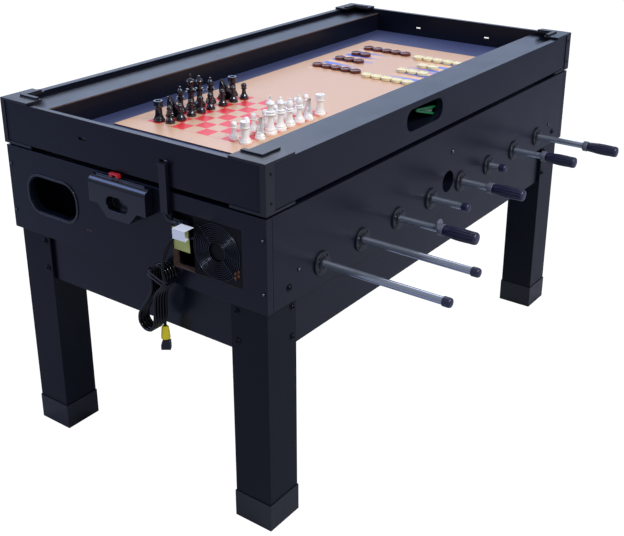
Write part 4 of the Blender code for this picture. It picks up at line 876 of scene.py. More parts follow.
class TABLE_OT_rods(Operator):
    """Makes the eight rods with their men, grips, end caps and stop rings"""
    bl_idname = "table.rods"
    bl_label = "Rods and men"

    def execute(self, context):
        sizes = context.scene.table_rods
        radius = sizes.radius
        rod_mm = radius / MM
        bore = rod_mm + RING_PLAY_MM
        for number, men, travel, side, x, shift in rods():
            turn = f"rod_{number}_turn"
            carrier = at(x, shift, ROD_Z) @ facing((0, side, 0))
            root = HALF_W + travel + GRIP_GAP
            bare = -(HALF_W + travel + BARE_OUT)
            stop = STOP_WALL - travel
            start, end = bare + TUBE_IN_CAP, root + TUBE_IN_GRIP
            tube = turned(((0, start), (radius, start), (radius, end), (0, end)), 40)
            piece(f"rod_{number}_tube", moved(tube, carrier), "chromed tube", turn, "rod_steel",
                  f"rod_{number}")
            # End cap in the grips' rubber, whose blue is painted sheen
            cap = turned(in_mm((0, 0), (5.0, 0), (8.2, 1.2), (9.6, 3.4), (10.0, 6.0),
                               (10.0, 16.6), (9.5, 17.8), (rod_mm, 18)), 32)
            piece(f"rod_{number}_end_cap", moved(cap, carrier @ at(0, 0, bare)), "grip rubber",
                  turn, "black_plastic")
            self.grip(number, turn, carrier @ at(0, 0, root), sizes)
            ring = turned(in_mm((rod_mm, -RING_T_MM), (11.4, -RING_T_MM),
                                (12.5, 1.2 - RING_T_MM), (12.5, -1.2), (11.4, 0), (rod_mm, 0)), 32)
            piece(f"rod_{number}_inner_stop", moved(ring, carrier @ at(0, 0, stop)),
                  "stop rubber", turn, "stop_rubber")
            ring = turned(in_mm((bore, 0), (11.4, 0), (12.5, 1.2), (12.5, RING_T_MM - 1.2),
                                (11.4, RING_T_MM), (bore, RING_T_MM), (bore, 0)), 32)
            piece(f"rod_{number}_slide_stop", moved(ring, carrier @ at(0, 0, -stop)),
                  "stop rubber", f"rod_{number}_travel", "stop_rubber", f"rod_{number}_stop_ring")
            team = stamp(bmesh.new(), self.man(sizes.man_height, sizes.man_foot),
                         [carrier @ at(0, 0, place) for place in men_places(men, travel)])
            piece(f"rod_{number}_men", team,
                  "red polystyrene" if side > 0 else "blue polystyrene", turn, "red_plastic")
        return {"FINISHED"}

    def grip(self, number, body, root, sizes):
        """A fluted grip with a smooth collar and a domed end, from the root outwards."""
        collar = turned(in_mm((8, 0), (12.9, 0), (13.5, 0.8), (13.5, 10.6), (12.7, 12),
                              (8, 12)), 40)
        if number == EAR_ROD:
            ear = turned(in_mm((0, -2.4), (10.8, -2.4), (12.2, -1.2), (12.2, 1.2), (10.8, 2.4),
                               (0, 2.4)), 36)
            out = root.to_3x3().inverted() @ EAR_WAY * EAR_REACH
            stamp(collar, ear, [at(out.x, out.y, EAR_ALONG)])
        piece(f"rod_{number}_collar", moved(collar, root), "grey nylon", body, "black_plastic")
        length = sizes.grip_length - COLLAR_L
        profile = [(0, 0)] + [(sizes.grip_radius * share, length * along)
                              for along, share in GRIP_SHARES] + [(0, length)]
        shape = turned(profile, sizes.flutes * 4)
        # Each fourth column of the middle rows is pressed in, which gives the flutes
        for vert in shape.verts:
            column = round(math.atan2(vert.co.y, vert.co.x) / math.tau * sizes.flutes * 4)
            if column % 4 == 0 and FLUTED_SHARES[0] < vert.co.z / length < FLUTED_SHARES[1]:
                vert.co.x *= FLUTE_SHARE
                vert.co.y *= FLUTE_SHARE
        piece(f"rod_{number}_grip", moved(shape, root @ at(0, 0, COLLAR_L)), "grip rubber", body,
              "black_plastic", limit=GRIP_CREASE)

    def man(self, head, foot):
        """A plain moulded player: hub, shoulders, head, legs in one and a bevelled foot."""
        foot_mm, half_mm = foot / MM, MAN_T / MM / 2
        # In this pattern Z runs along the rod and +X points down to the field
        body = drawn(in_mm((-14, -9), (-14, 9), (16, 10), (22, 9), (24, -9), (16, -10)), MAN_T,
                     at(0, 0, -MAN_T / 2))
        shape = ease(body, BODY_EASE, 3)
        legs = drawn(in_mm((20, -6), (20, 6), (foot_mm - 16, 5), (foot_mm - 12, 7.4),
                           (foot_mm, 7.4), (foot_mm, -7.4), (foot_mm - 12, -7.4),
                           (foot_mm - 16, -5)), MAN_T * LEGS_SHARE,
                     at(0, 0, -MAN_T / 2 * LEGS_SHARE))
        stamp(shape, ease(legs, LEGS_EASE, 3), [Matrix()])
        ball = bmesh.new()
        bmesh.ops.create_uvsphere(ball, u_segments=20, v_segments=14, radius=HEAD_R)
        stamp(shape, ball, [at(HEAD_R - head, 0, 0)])
        neck = turned(in_mm((0, 0), (5, 0), (5, 12), (0, 12)), 16)
        stamp(shape, neck, [at(-HEAD_FROM_HUB, 0, 0) @ facing((-1, 0, 0))])
        hub = turned(in_mm((0, -half_mm), (12, -half_mm), (12.5, 1 - half_mm),
                           (12.5, half_mm - 1), (12, half_mm), (0, half_mm)), 32)
        return stamp(shape, hub, [Matrix()])


BOX_EASE = 1.0 * MM
# Only edges that turn more than this are eased on the boxes, so that their round tops stay round
BOX_SHARP = 0.6
SLIDER_EASE = 0.9 * MM


class TABLE_OT_end_boxes(Operator):
    """Makes the end boxes with their ball holes, and the red score sliders"""
    bl_idname = "table.end_boxes"
    bl_label = "End boxes"

    def execute(self, context):
        for name in ("near", "far"):
            dressed(f"end_box_{name}", f"goal_box_{name}", BOX_EASE, "polished ABS", "cabinet",
                    "black_plastic", segments=3, turn=BOX_SHARP)
            dressed(f"score_marker_{name}", f"score_slider_{name}", SLIDER_EASE, "red ABS",
                    f"slider_{name}", "red_plastic", segments=3)
        return {"FINISHED"}


OVAL_Y = 0.227
OVAL_RISE = 0.099
OVAL_HALF_L = 0.075
OVAL_HALF_H = 0.041
OVAL_CORNER = 0.036
# The trim: how far outside the hole's edge it starts, its width, thickness and eased edge
TRIM_OUT = 1.2 * MM
TRIM_W = 5.4 * MM
TRIM_T = 2.0 * MM
TRIM_EASE = 0.7 * MM


class TABLE_OT_oval_trims(Operator):
    """Makes the glossy trims of the oval hand holes"""
    bl_idname = "table.oval_trims"
    bl_label = "Oval trims"

    def execute(self, context):
        for name, side in (("near", -1), ("far", 1)):
            outline = rounded(OVAL_HALF_L + TRIM_OUT, OVAL_HALF_H + TRIM_OUT, OVAL_CORNER)
            shape = ease(ring_of(outline, TRIM_W, TRIM_T), TRIM_EASE, 3)
            place = (at(side * HALF_L, -side * OVAL_Y, CABINET_BOTTOM + OVAL_RISE)
                     @ Matrix.Rotation(side * math.pi / 2, 4, "Z")
                     @ Matrix.Rotation(math.pi / 2, 4, "X"))
            piece(f"oval_trim_{name}", moved(shape, place), "polished ABS", "cabinet",
                  "black_gloss")
        return {"FINISHED"}


FAN_EASE = 0.8 * MM
# Fan's blades: root, span, width and twist at the root, and how both change towards the tip
BLADES = 7
BLADE_ROOT = 19 * MM
BLADE_SPAN = 34 * MM
BLADE_W_MM, BLADE_WIDENS_MM = 26, 14
BLADE_TWIST, BLADE_UNTWISTS = 42, 16
BLADE_BOW = 3.0 * MM
BLADE_RISE_SHARE = 0.62
BLADE_T = 1.4 * MM
# Its guard: rings and spokes of wire
WIRE_R = 0.6 * MM
RINGS = 10
RING_R = 21 * MM
RING_PITCH = 4.1 * MM
SPOKE_ENDS = (20 * MM, 67 * MM)
SPOKE_BACK = 0.4 * MM
# Its terminals, from the frame's lowest corner in mm: places along Y and upwards
TERMINALS_MM = ((5, 22), (13, 16), (5, 31), (13, 25))
TERMINAL_W, TERMINAL_H = 4.8 * MM, 6 * MM
TERMINAL_OUT, TERMINAL_IN = 0.9 * MM, 2 * MM
TERMINAL_EASE = 0.3 * MM


class TABLE_OT_fan(Operator):
    """Makes the fan: frame, rotor, round wire guard and spade terminals"""
    bl_idname = "table.fan"
    bl_label = "Fan"

    def execute(self, context):
        dressed("fan_housing", "fan_frame", FAN_EASE, "black nylon", "cabinet", "black_plastic")
        low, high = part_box("fan_rotor")
        centre = (low + high) / 2
        piece("fan_blades", moved(self.rotor(high.x - low.x),
                                  at(low.x, centre.y, centre.z) @ facing((1, 0, 0))),
              "black nylon", "rotor", "black_plastic", "fan_rotor")
        low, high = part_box("fan_guard")
        piece("fan_finger_guard", moved(self.guard(), at((low.x + high.x) / 2, centre.y, centre.z)
                                        @ facing((-1, 0, 0))),
              "dark wire", "cabinet", "chrome_steel", "fan_guard")
        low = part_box("fan_frame")[0]
        tabs = bmesh.new()
        for along, up in TERMINALS_MM:
            y, z = low.y + along * MM, low.z + up * MM
            cuboid(tabs, (low.x - TERMINAL_OUT, low.x + TERMINAL_IN), (y, y + TERMINAL_W),
                   (z, z + TERMINAL_H))
        piece("fan_terminals", ease(tabs, TERMINAL_EASE), "brass", "cabinet", "chrome_steel")
        return {"FINISHED"}

    def rotor(self, depth):
        """A hub with curved blades, standing on its back along Z."""
        back = depth / MM
        shape = turned(in_mm((0, 0), (17, 0), (19, 0.8), (20, 2.4), (20, back), (0, back)), 36)
        blade = bmesh.new()
        bmesh.ops.create_grid(blade, x_segments=8, y_segments=5, size=0.5)
        # From the hub outwards each blade widens and flattens
        for vert in blade.verts:
            out = vert.co.x + 0.5
            wide = (BLADE_W_MM + BLADE_WIDENS_MM * out) * MM * vert.co.y
            twist = math.radians(BLADE_TWIST - BLADE_UNTWISTS * out)
            bow = BLADE_BOW * (1 - (2 * vert.co.y) ** 2)
            vert.co = Vector((BLADE_ROOT + out * BLADE_SPAN, wide * math.cos(twist) + bow,
                              depth / 2 + wide * math.sin(twist) * BLADE_RISE_SHARE))
        bmesh.ops.recalc_face_normals(blade, faces=blade.faces)
        bmesh.ops.solidify(blade, geom=blade.faces[:], thickness=BLADE_T)
        return stamp(shape, blade, [Matrix.Rotation(math.tau * turn / BLADES, 4, "Z")
                                    for turn in range(BLADES)])

    def guard(self):
        """Rings of wire on four thinner spokes, lying on the XY plane."""
        shape = bmesh.new()
        for ring in range(RINGS):
            radius = RING_R + ring * RING_PITCH
            profile = [(radius + WIRE_R * math.cos(math.tau * step / 8),
                        WIRE_R * math.sin(math.tau * step / 8)) for step in range(9)]
            stamp(shape, turned(profile, 64), [Matrix()])
        start, end = SPOKE_ENDS
        spoke = turned(((0, start), (WIRE_R / 2, start), (WIRE_R / 2, end), (0, end)), 10)
        angles = [math.radians(45 + 90 * turn) for turn in range(4)]
        return stamp(shape, spoke, [at(0, 0, -SPOKE_BACK)
                                    @ facing((math.cos(angle), math.sin(angle), 0))
                                    for angle in angles])


POWER_EASE = 0.6 * MM
COVER_EASE = 1.0 * MM
LINK_EASE = 0.1 * MM


class TABLE_OT_power(Operator):
    """Makes the power box, the cable cover and the link cable"""
    bl_idname = "table.power"
    bl_label = "Power box and cover"

    def execute(self, context):
        dressed("power_housing", "power_box", POWER_EASE, "moulded ABS", "cabinet",
                "black_plastic")
        dressed("cable_cover_bar", "cable_cover", COVER_EASE, "moulded ABS", "cabinet",
                "black_plastic", segments=3)
        dressed("link_cable_sheath", "link_cable", LINK_EASE, "polished ABS", "cabinet",
                "cord_rubber", segments=1, turn=ROUND_CREASE, limit=ROUND_CREASE)
        return {"FINISHED"}


CORD_D = 0.0070
CORD_EXIT = Vector((-HALF_L - 0.0023, -0.163, CABINET_BOTTOM + 0.124))
HANK_LOOPS = 4
HANK_RUN_STEPS = 8
HANK_TURN_STEPS = 4
HANK_L = 0.160
HANK_LEAN = math.radians(19.6)
HANK_DOWN = Vector((0, math.sin(HANK_LEAN), -math.cos(HANK_LEAN)))
HANK_ACROSS = Vector((0, math.cos(HANK_LEAN), math.sin(HANK_LEAN)))
HANK_END_HALF_W = 0.0215
HANK_WAIST_HALF_W = 0.0075
HANK_WAIST_SHARE = 0.38
HANK_STEP = 0.0078
HANK_TOP = Vector((-HALF_L - 0.0445, -0.131, CABINET_BOTTOM + 0.050))
TAIL_L = 0.010
TAIL_POINTS = 5
SLEEVE_L = 0.030
# The lead's way from the gland, as steps from its exit
LEAD_STEPS = ((0, 0, 0), (-0.0075, 0, 0), (-0.0150, 0.0008, -0.0020),
              (-0.0220, 0.0030, -0.0065), (-0.0275, 0.0068, -0.0135),
              (-0.0318, 0.0112, -0.0225), (-0.0352, 0.0155, -0.0330),
              (-0.0380, 0.0190, -0.0445), (-0.0401, 0.0208, -0.0560),
              (-0.0414, 0.0212, -0.0675), (-0.0421, 0.0205, -0.0790))


def hank_point(layer, along, across):
    """A place in the hank: layers count inwards, along runs down its length."""
    return (HANK_TOP + Vector((layer * HANK_STEP, 0, 0)) + HANK_DOWN * along
            + HANK_ACROSS * across)


def hank_half_width(along):
    """Half the width between the two runs: full at both ends and drawn in at the waist."""
    start, end = HANK_END_HALF_W, HANK_L - HANK_END_HALF_W
    waist = start + (end - start) * HANK_WAIST_SHARE
    share = (waist - along) / (waist - start) if along < waist else (along - waist) / (end - waist)
    share = min(1.0, max(0.0, share))
    swing = (1 - math.cos(math.pi * share)) / 2
    return HANK_WAIST_HALF_W + (HANK_END_HALF_W - HANK_WAIST_HALF_W) * swing


def hank_line():
    """Loops that go down the right run and up the left one, each a layer further in."""
    start, end = HANK_END_HALF_W, HANK_L - HANK_END_HALF_W
    line = []
    for loop in range(HANK_LOOPS + 1):
        for step in range(HANK_RUN_STEPS):
            share = step / HANK_RUN_STEPS
            along = start + (end - start) * share
            line.append(hank_point(loop + share * 3 / 8, along, -hank_half_width(along)))
        if loop == HANK_LOOPS:
            break
        for step in range(HANK_TURN_STEPS):
            share = step / HANK_TURN_STEPS
            angle = math.pi * share
            line.append(hank_point(loop + 3 / 8 + share / 8, end + start * math.sin(angle),
                                   -start * math.cos(angle)))
        for step in range(HANK_RUN_STEPS):
            share = step / HANK_RUN_STEPS
            along = end + (start - end) * share
            line.append(hank_point(loop + 1 / 2 + share * 3 / 8, along, hank_half_width(along)))
        for step in range(HANK_TURN_STEPS):
            share = step / HANK_TURN_STEPS
            angle = math.pi * share
            line.append(hank_point(loop + 7 / 8 + share / 8, start - start * math.sin(angle),
                                   start * math.cos(angle)))
    line.append(hank_point(HANK_LOOPS + 3 / 8, end, -start))
    return line


def smooth_line(points, steps):
    """Points on a smooth curve through the given ones."""
    ends = [2 * points[0] - points[1], *points, 2 * points[-1] - points[-2]]
    line = []
    for a, b, c, d in zip(ends, ends[1:], ends[2:], ends[3:]):
        for step in range(steps):
            t = step / steps
            line.append(((2 * b) + (c - a) * t + (2 * a - 5 * b + 4 * c - d) * t * t
                         + (3 * b - a - 3 * c + d) * t ** 3) / 2)
    line.append(points[-1])
    return line


def cord_route():
    """The whole cord from the gland to the plug, and the tail's last two points."""
    hank = hank_line()
    into = (hank[1] - hank[0]).normalized()
    lead = [CORD_EXIT + Vector(step) for step in LEAD_STEPS]
    lead += [hank[0] - into * CORD_D, hank[0] - into * CORD_D / 2]
    leave = (hank[-1] - hank[-2]).normalized()
    tail, here = [], hank[-1]
    for step in range(TAIL_POINTS):
        heading = leave.lerp(Vector((0, 0, -1)), (step + 1) / TAIL_POINTS).normalized()
        here = here + heading * (TAIL_L / TAIL_POINTS)
        tail.append(here)
    end = tail[-1] + Vector((0, 0, -SLEEVE_L - CORD_D / 2))
    return smooth_line(lead, 2) + hank + tail, tail[-1], end


# Strain relief: its reach along the lead, its radius at the gland and how much it thins, in mm
RELIEF_L = 26 * MM
RELIEF_POINTS = 24
RELIEF_R_MM, RELIEF_THINS_MM = 5.6, 1.7
PLUG_EASE = 1.2 * MM
# The tie: where its two turns lie down the hank, and its corner, thickness, width and eased edge
TIE_PLACES = (0.0215, 0.0295)
TIE_CORNER = 9 * MM
TIE_T = 1.6 * MM
TIE_W = 4.6 * MM
TIE_EASE = 0.7 * MM
# Folded tag: for each card its ends along Y and its section outwards and upwards, from a corner
TAG_CORNER = Vector((-0.7180, -0.1720, 0.6560))
TAG_CARDS = (
    ("tag_cover", "white card", (-0.0325, 0.0),
     ((0.026, 0.0006), (0.0, 0.0), (0.0006, -0.021), (0.011, -0.0175))),
    ("tag_leaf", "yellow card", (-0.0290, 0.0125),
     ((0.0135, -0.003), (0.0122, -0.0175), (0.0150, -0.022), (0.0165, -0.051))),
)
CARD_T = 0.4 * MM


class TABLE_OT_cord(Operator):
    """Makes the power cord in its hank, with its tie, sleeve, tag and plug"""
    bl_idname = "table.cord"
    bl_label = "Power cord"

    def execute(self, context):
        route, sleeve_top, end = cord_route()
        points = smooth_line(route + [end], 3)
        cord = self.tube("power_cord", points, [CORD_D / 2] * len(points), "cord PVC")
        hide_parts("power_cord_lead", "power_cord_hank")
        # Strain relief: a cone that is stiff at the gland and thins along the lead
        start = [point for point in points[:RELIEF_POINTS]
                 if (point - points[0]).length < RELIEF_L]
        radii = [(RELIEF_R_MM - RELIEF_THINS_MM * step / (len(start) - 1)) * MM
                 for step in range(len(start))]
        relief = self.tube("cord_strain_relief", start, radii, "moulded ABS")
        plug = dressed("power_plug", "plug", PLUG_EASE, "moulded ABS", "cabinet",
                       "black_plastic", segments=3)
        # Sleeve round the straight end: wide at the plug and drawn in above it
        sleeve = turned(in_mm((3.4, -14), (9.2, -14), (9.8, -12.5), (8.8, 0), (7.4, 12),
                              (6.0, 14), (3.4, 14), (3.4, -14)), 24)
        sleeve = piece("cord_sleeve", moved(sleeve, at(*(sleeve_top + end) / 2)), "yellow PVC",
                       "cabinet", "yellow_plastic")
        tie = piece("cord_tie", self.tie(), "polished ABS", "cabinet", "black_gloss",
                    limit=ROUND_CREASE)
        self.tag()
        return {"FINISHED"}

    def tube(self, name, points, radii, material):
        """A round tube along points, with a radius at each."""
        curve = bpy.data.curves.new(name, "CURVE")
        curve.dimensions = "3D"
        curve.bevel_depth = 1.0
        curve.bevel_resolution = 4
        curve.use_fill_caps = True
        spline = curve.splines.new("POLY")
        spline.points.add(len(points) - 1)
        for spot, point, radius in zip(spline.points, points, radii):
            spot.co = (*point, 1)
            spot.radius = radius
        curve.materials.append(finish(material))
        made = bpy.data.objects.new(name, curve)
        bpy.context.scene.collection.objects.link(made)
        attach(made, "cabinet")
        return made

    def tie(self):
        """Two turns of flat black tie drawn tight round the bunch, below its upper bends."""
        shape = bmesh.new()
        middle = (HANK_LOOPS + 3 / 8) / 2
        for along in TIE_PLACES:
            outline = rounded(HANK_STEP * middle + CORD_D / 2,
                              hank_half_width(along) + CORD_D / 2, TIE_CORNER)
            band = ease(ring_of(outline, TIE_T, TIE_W), TIE_EASE)
            place = Matrix((Vector((1, 0, 0)), HANK_ACROSS, -HANK_DOWN)).transposed().to_4x4()
            place.translation = hank_point(middle, along, 0)
            stamp(shape, band, [place])
        bmesh.ops.recalc_face_normals(shape, faces=shape.faces)
        return shape

    def tag(self):
        """The folded card tag: white over the lead, with a yellow-green leaf below it."""
        for name, material, ends, path in TAG_CARDS:
            shape = bmesh.new()
            line = [shape.verts.new(TAG_CORNER + Vector((u, ends[0], v))) for u, v in path]
            edges = [shape.edges.new(pair) for pair in zip(line, line[1:])]
            grown = bmesh.ops.extrude_edge_only(shape, edges=edges)["geom"]
            bmesh.ops.translate(shape, vec=(0, ends[1] - ends[0], 0),
                                verts=[part for part in grown
                                       if isinstance(part, bmesh.types.BMVert)])
            bmesh.ops.recalc_face_normals(shape, faces=shape.faces)
            bmesh.ops.solidify(shape, geom=shape.faces[:], thickness=CARD_T)
            piece(name, shape, material, "cabinet", "paper")


RAIL_EASE = 0.5 * MM
CAP_EASE = 0.9 * MM
# The raw edge of the back ledge's thin board
RAW_EDGE = 3 * MM
# Outlines along the table and upwards, of a clip and a card that lie behind the hand hole
CLIP_Y = -0.3420
CLIP_W = 5 * MM
CLIP_EASE = 0.8 * MM
PALE_CARD_T = 0.5 * MM
PALE_CARD_BACK = 2 * MM
CLIP = ((-0.118, 0.7715), (-0.035, 0.7450), (-0.033, 0.7500), (-0.104, 0.7712), (-0.019, 0.7605),
        (-0.019, 0.7660), (-0.118, 0.7780))
CARD = ((-0.098, 0.7690), (-0.040, 0.7525), (-0.030, 0.7615))


class TABLE_OT_upper_frame(Operator):
    """Makes the lift-off frame: rails, well floor, ledges and corner caps"""
    bl_idname = "table.upper_frame"
    bl_label = "Upper frame"

    def execute(self, context):
        for node in ("upper_front_rail", "upper_back_rail", "front_ledge"):
            dressed(node + "_board", node, RAIL_EASE, "melamine laminate", "upper_frame",
                    "black_laminate")
        # The slots in the end rails are dull inside, and near-black as painted shade
        for node in ("upper_near_rail", "upper_far_rail"):
            low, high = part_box(node)
            shape = second_finish(copied(node), lambda face, spot: (
                abs(face.normal.x) < 0.5
                and all(low[axis] + MM < spot[axis] < high[axis] - MM for axis in (1, 2))))
            piece(node + "_board", ease(shape, RAIL_EASE),
                  ("melamine laminate", "painted fibreboard"), "upper_frame", "black_laminate",
                  node)
        # The floor board is grained in the well, with a lighter blue that is painted sheen, and
        # smooth in the compartments beside it
        front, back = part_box("front_ledge")[1].y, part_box("back_ledge")[0].y
        shape = parted(parted(copied("upper_floor"), (0, front, 0), (0, 1, 0)), (0, back, 0),
                       (0, 1, 0))
        second_finish(shape, lambda face, spot: front < spot.y < back)
        piece("upper_floor_board", shape, ("melamine laminate", "grained laminate"),
              "upper_frame", "black_laminate", "upper_floor")
        # The thin board's cut edge is left raw, and shows as a brown line
        low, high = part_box("back_ledge")
        start = high.z - RAW_EDGE
        shape = parted(copied("back_ledge"), (0, 0, start), (0, 0, 1))
        second_finish(shape, lambda face, spot: (
            abs(face.normal.y) > 0.9 and abs(spot.y - low.y) < MM and spot.z > start))
        piece("back_ledge_board", shape, ("melamine laminate", "raw fibreboard"),
              "upper_frame", "black_laminate", "back_ledge")
        for corner in CORNERS:
            dressed(f"{corner}_cap_shell", f"{corner}_corner_cap", CAP_EASE, "moulded ABS",
                    "upper_frame", "black_plastic", segments=3)
        upright = at(0, CLIP_Y, 0) @ Matrix.Rotation(math.pi / 2, 4, "X")
        clip = ease(drawn(CLIP, CLIP_W, upright), CLIP_EASE)
        piece("green_clip", clip, "green polypropylene", "upper_frame", "green_plastic")
        card = drawn(CARD, PALE_CARD_T, at(0, PALE_CARD_BACK, 0) @ upright)
        piece("pale_card", card, "grey card", "upper_frame", "paper")
        return {"FINISHED"}


# Screws and bolts, each repeated on both sides and at both ends of the table
PANEL_SCREW_X, PANEL_SCREW_Z = 0.577, 0.571
PANEL_BOLT_X, PANEL_BOLT_Z = 0.607, 0.543
END_SCREW_Y, END_SCREWS_Z = 0.358, (0.663, 0.553)
CAP_SCREW_X, CAP_SCREWS_Z = 0.660, (0.734, 0.791)
CAP_OUT = 2 * MM
LEG_BOLT_X, LEG_BOLT_Y, LEG_BOLTS_Z = 0.585, 0.281, (0.490, 0.424)
# One at the middle of the field's side wall
WALL_SCREW_X, WALL_SCREW_Z = 0.0235, 0.645
# Radii of the heads, in mm in the finishing cups, and the height of a head in its cup
PANEL_SCREW_R_MM = 2.9
WALL_SCREW_R_MM = 4.6
CAP_SCREW_R = 3.2 * MM
CUPPED_HEAD_H = 2.9 * MM


class TABLE_OT_screws(Operator):
    """Makes the screws and bolts in panels, legs and corner caps"""
    bl_idname = "table.screws"
    bl_label = "Screws and bolts"

    def execute(self, context):
        panel, middle, caps, bolts = [], [], [], []
        for side in (-1, 1):
            across = facing((0, side, 0))
            for end in (-1, 1):
                along = facing((end, 0, 0))
                panel.append(at(end * PANEL_SCREW_X, side * HALF_W, PANEL_SCREW_Z) @ across)
                bolts.append(at(end * PANEL_BOLT_X, side * HALF_W, PANEL_BOLT_Z) @ across)
                for z in END_SCREWS_Z:
                    panel.append(at(end * HALF_L, side * END_SCREW_Y, z) @ along)
                for z in CAP_SCREWS_Z:
                    caps.append(at(end * CAP_SCREW_X, side * (HALF_W + CAP_OUT), z) @ across)
                for z in LEG_BOLTS_Z:
                    bolts.append(at(end * LEG_OUT_X, side * LEG_BOLT_Y, z) @ along)
                    bolts.append(at(end * LEG_BOLT_X, side * LEG_OUT_Y, z) @ across)
            middle.append(at(WALL_SCREW_X, side * HALF_W, WALL_SCREW_Z) @ across)
        for name, head, spots, body in (
                ("panel_screws", self.screw(PANEL_SCREW_R_MM), panel, "cabinet"),
                ("side_wall_screws", self.screw(WALL_SCREW_R_MM), middle, "cabinet"),
                ("cap_screws", screw_head(CAP_SCREW_R, SMALL_HEAD_H), caps, "upper_frame"),
                ("leg_bolts", self.bolt(), bolts, "cabinet")):
            piece(name, stamp(bmesh.new(), head, spots),
                  ("blackened steel", "plated steel"), body, "chrome_steel")
        return {"FINISHED"}

    def screw(self, radius):
        """A small plated screw in a black finishing cup; its head's radius is in mm."""
        shape = second_finish(screw_head(radius * MM, CUPPED_HEAD_H),
                              lambda face, spot: True)
        cup = turned(in_mm((0, 0), (radius + 2.6, 0), (radius + 2.6, 0.5), (radius + 1.6, 1.3),
                           (0, 1.3)), 20)
        return stamp(shape, cup, [Matrix()])

    def bolt(self):
        """A button head bolt with a round socket, on a washer."""
        return turned(in_mm((0, 1.2), (2.4, 1.2), (2.4, 4.0), (4.2, 3.6), (5.6, 2.2), (5.8, 1.0),
                            (8.6, 1.0), (8.8, 0.7), (8.8, 0)), 24)


class TABLE_OT_board(Operator):
    """Makes the loose game board with its printed top"""
    bl_idname = "table.board"
    bl_label = "Game board"

    def execute(self, context):
        sizes = context.scene.table_board
        shape = bmesh.new()
        cuboid(shape, (-sizes.length / 2, sizes.length / 2), (-sizes.width / 2, sizes.width / 2),
               (BOARD_BOTTOM, BOARD_TOP))
        second_finish(shape, lambda face, spot: face.normal.z < 0.5)
        piece("game_board_sheet", ease(shape, PRINT_EASE), ("board print", "raw fibreboard"),
              "board", "printed_board", "game_board")
        return {"FINISHED"}


# Turned men: (share of the base's radius, share of the height)
CHESS_PROFILES = {
    "pawn": ((1, 0), (1, 0.10), (0.94, 0.135), (0.80, 0.15), (0.84, 0.18), (0.80, 0.23),
             (0.58, 0.30), (0.46, 0.42), (0.42, 0.54), (0.46, 0.62), (0.66, 0.65),
             (0.68, 0.68), (0.50, 0.705), (0.46, 0.72), (0.58, 0.76), (0.64, 0.84),
             (0.58, 0.92), (0.36, 0.98), (0, 1)),
    "rook": ((1, 0), (1, 0.08), (0.94, 0.11), (0.82, 0.13), (0.86, 0.16), (0.80, 0.20),
             (0.66, 0.27), (0.60, 0.42), (0.58, 0.60), (0.62, 0.66), (0.80, 0.70),
             (0.80, 0.74), (0.74, 0.76), (0.78, 1.0), (0.54, 1.0), (0.52, 0.90), (0, 0.90)),
    "knight": ((1, 0), (1, 0.08), (0.94, 0.11), (0.82, 0.13), (0.86, 0.16), (0.78, 0.20),
               (0.64, 0.25), (0.60, 0.30), (0, 0.32)),
    "bishop": ((1, 0), (1, 0.06), (0.94, 0.085), (0.82, 0.10), (0.86, 0.13), (0.78, 0.165),
               (0.58, 0.22), (0.48, 0.32), (0.44, 0.42), (0.50, 0.50), (0.78, 0.525),
               (0.80, 0.545), (0.56, 0.56), (0.54, 0.585), (0.68, 0.60), (0.68, 0.62),
               (0.44, 0.635), (0.44, 0.66), (0.58, 0.71), (0.60, 0.77), (0.48, 0.86),
               (0.24, 0.92), (0.14, 0.93), (0.20, 0.955), (0.18, 0.985), (0, 1)),
    "queen": ((1, 0), (1, 0.055), (0.94, 0.08), (0.82, 0.09), (0.86, 0.12), (0.78, 0.15),
              (0.58, 0.20), (0.48, 0.30), (0.44, 0.42), (0.50, 0.50), (0.82, 0.52),
              (0.84, 0.54), (0.58, 0.555), (0.56, 0.575), (0.72, 0.59), (0.72, 0.61),
              (0.46, 0.625), (0.42, 0.67), (0.48, 0.74), (0.70, 0.82), (0.66, 0.845),
              (0.46, 0.885), (0.22, 0.915), (0.16, 0.93), (0.24, 0.95), (0.22, 0.985), (0, 1)),
    "king": ((1, 0), (1, 0.05), (0.94, 0.07), (0.82, 0.08), (0.86, 0.11), (0.78, 0.14),
             (0.58, 0.19), (0.48, 0.29), (0.44, 0.40), (0.50, 0.48), (0.84, 0.50),
             (0.86, 0.52), (0.60, 0.535), (0.58, 0.555), (0.74, 0.57), (0.74, 0.59),
             (0.46, 0.605), (0.42, 0.65), (0.50, 0.72), (0.74, 0.785), (0.74, 0.805),
             (0.58, 0.84), (0.24, 0.865), (0.16, 0.875), (0, 0.88)),
}
# Height and base radius as shares of the pawn's
CHESS_SHARES = {"pawn": (1.0, 1.0), "rook": (1.20, 1.22), "knight": (1.27, 1.20),
                "bishop": (1.60, 1.20), "queen": (1.90, 1.26), "king": (2.16, 1.32)}
# File by file from the near end, as the men stand in the photo
BACK_RANKS = {"black": ("rook", "knight", "bishop", "king", "queen", "bishop", "knight", "rook"),
              "white": ("rook", "knight", "king", "queen", "bishop", "bishop", "knight", "rook")}
# How far they stand off the middles of their squares, along and across the table in mm
PAWN_SHIFTS = {"black": ((1, 2), (-6, -2), (-3, 1), (-7, 1), (-9, 2), (-6, -1), (-3, 0), (-4, -4)),
               "white": ((-2, -6), (3, -6), (-4, -2), (-2, -3), (1, -2), (2, -3), (4, -1),
                         (4, -2))}
BACK_SHIFTS = {"black": ((-2, -3), (2, -2), (2, 2), (-1, 0), (-7, 1), (-6, 0), (1, 0), (2, 1)),
               "white": ((-7, -5), (-3, -14), (2, -8), (-1, -9), (0, -6), (-3, -7), (-9, -12),
                         (0, -10))}
# The knight's head from the side: shares of the base's radius and of the height
HORSE = ((-0.60, 0.28), (-0.66, 0.50), (-0.56, 0.70), (-0.34, 0.88), (-0.24, 1.00),
         (-0.08, 0.91), (0.18, 0.86), (0.44, 0.74), (0.74, 0.60), (0.78, 0.52), (0.62, 0.46),
         (0.38, 0.51), (0.14, 0.53), (0.28, 0.42), (0.50, 0.28))


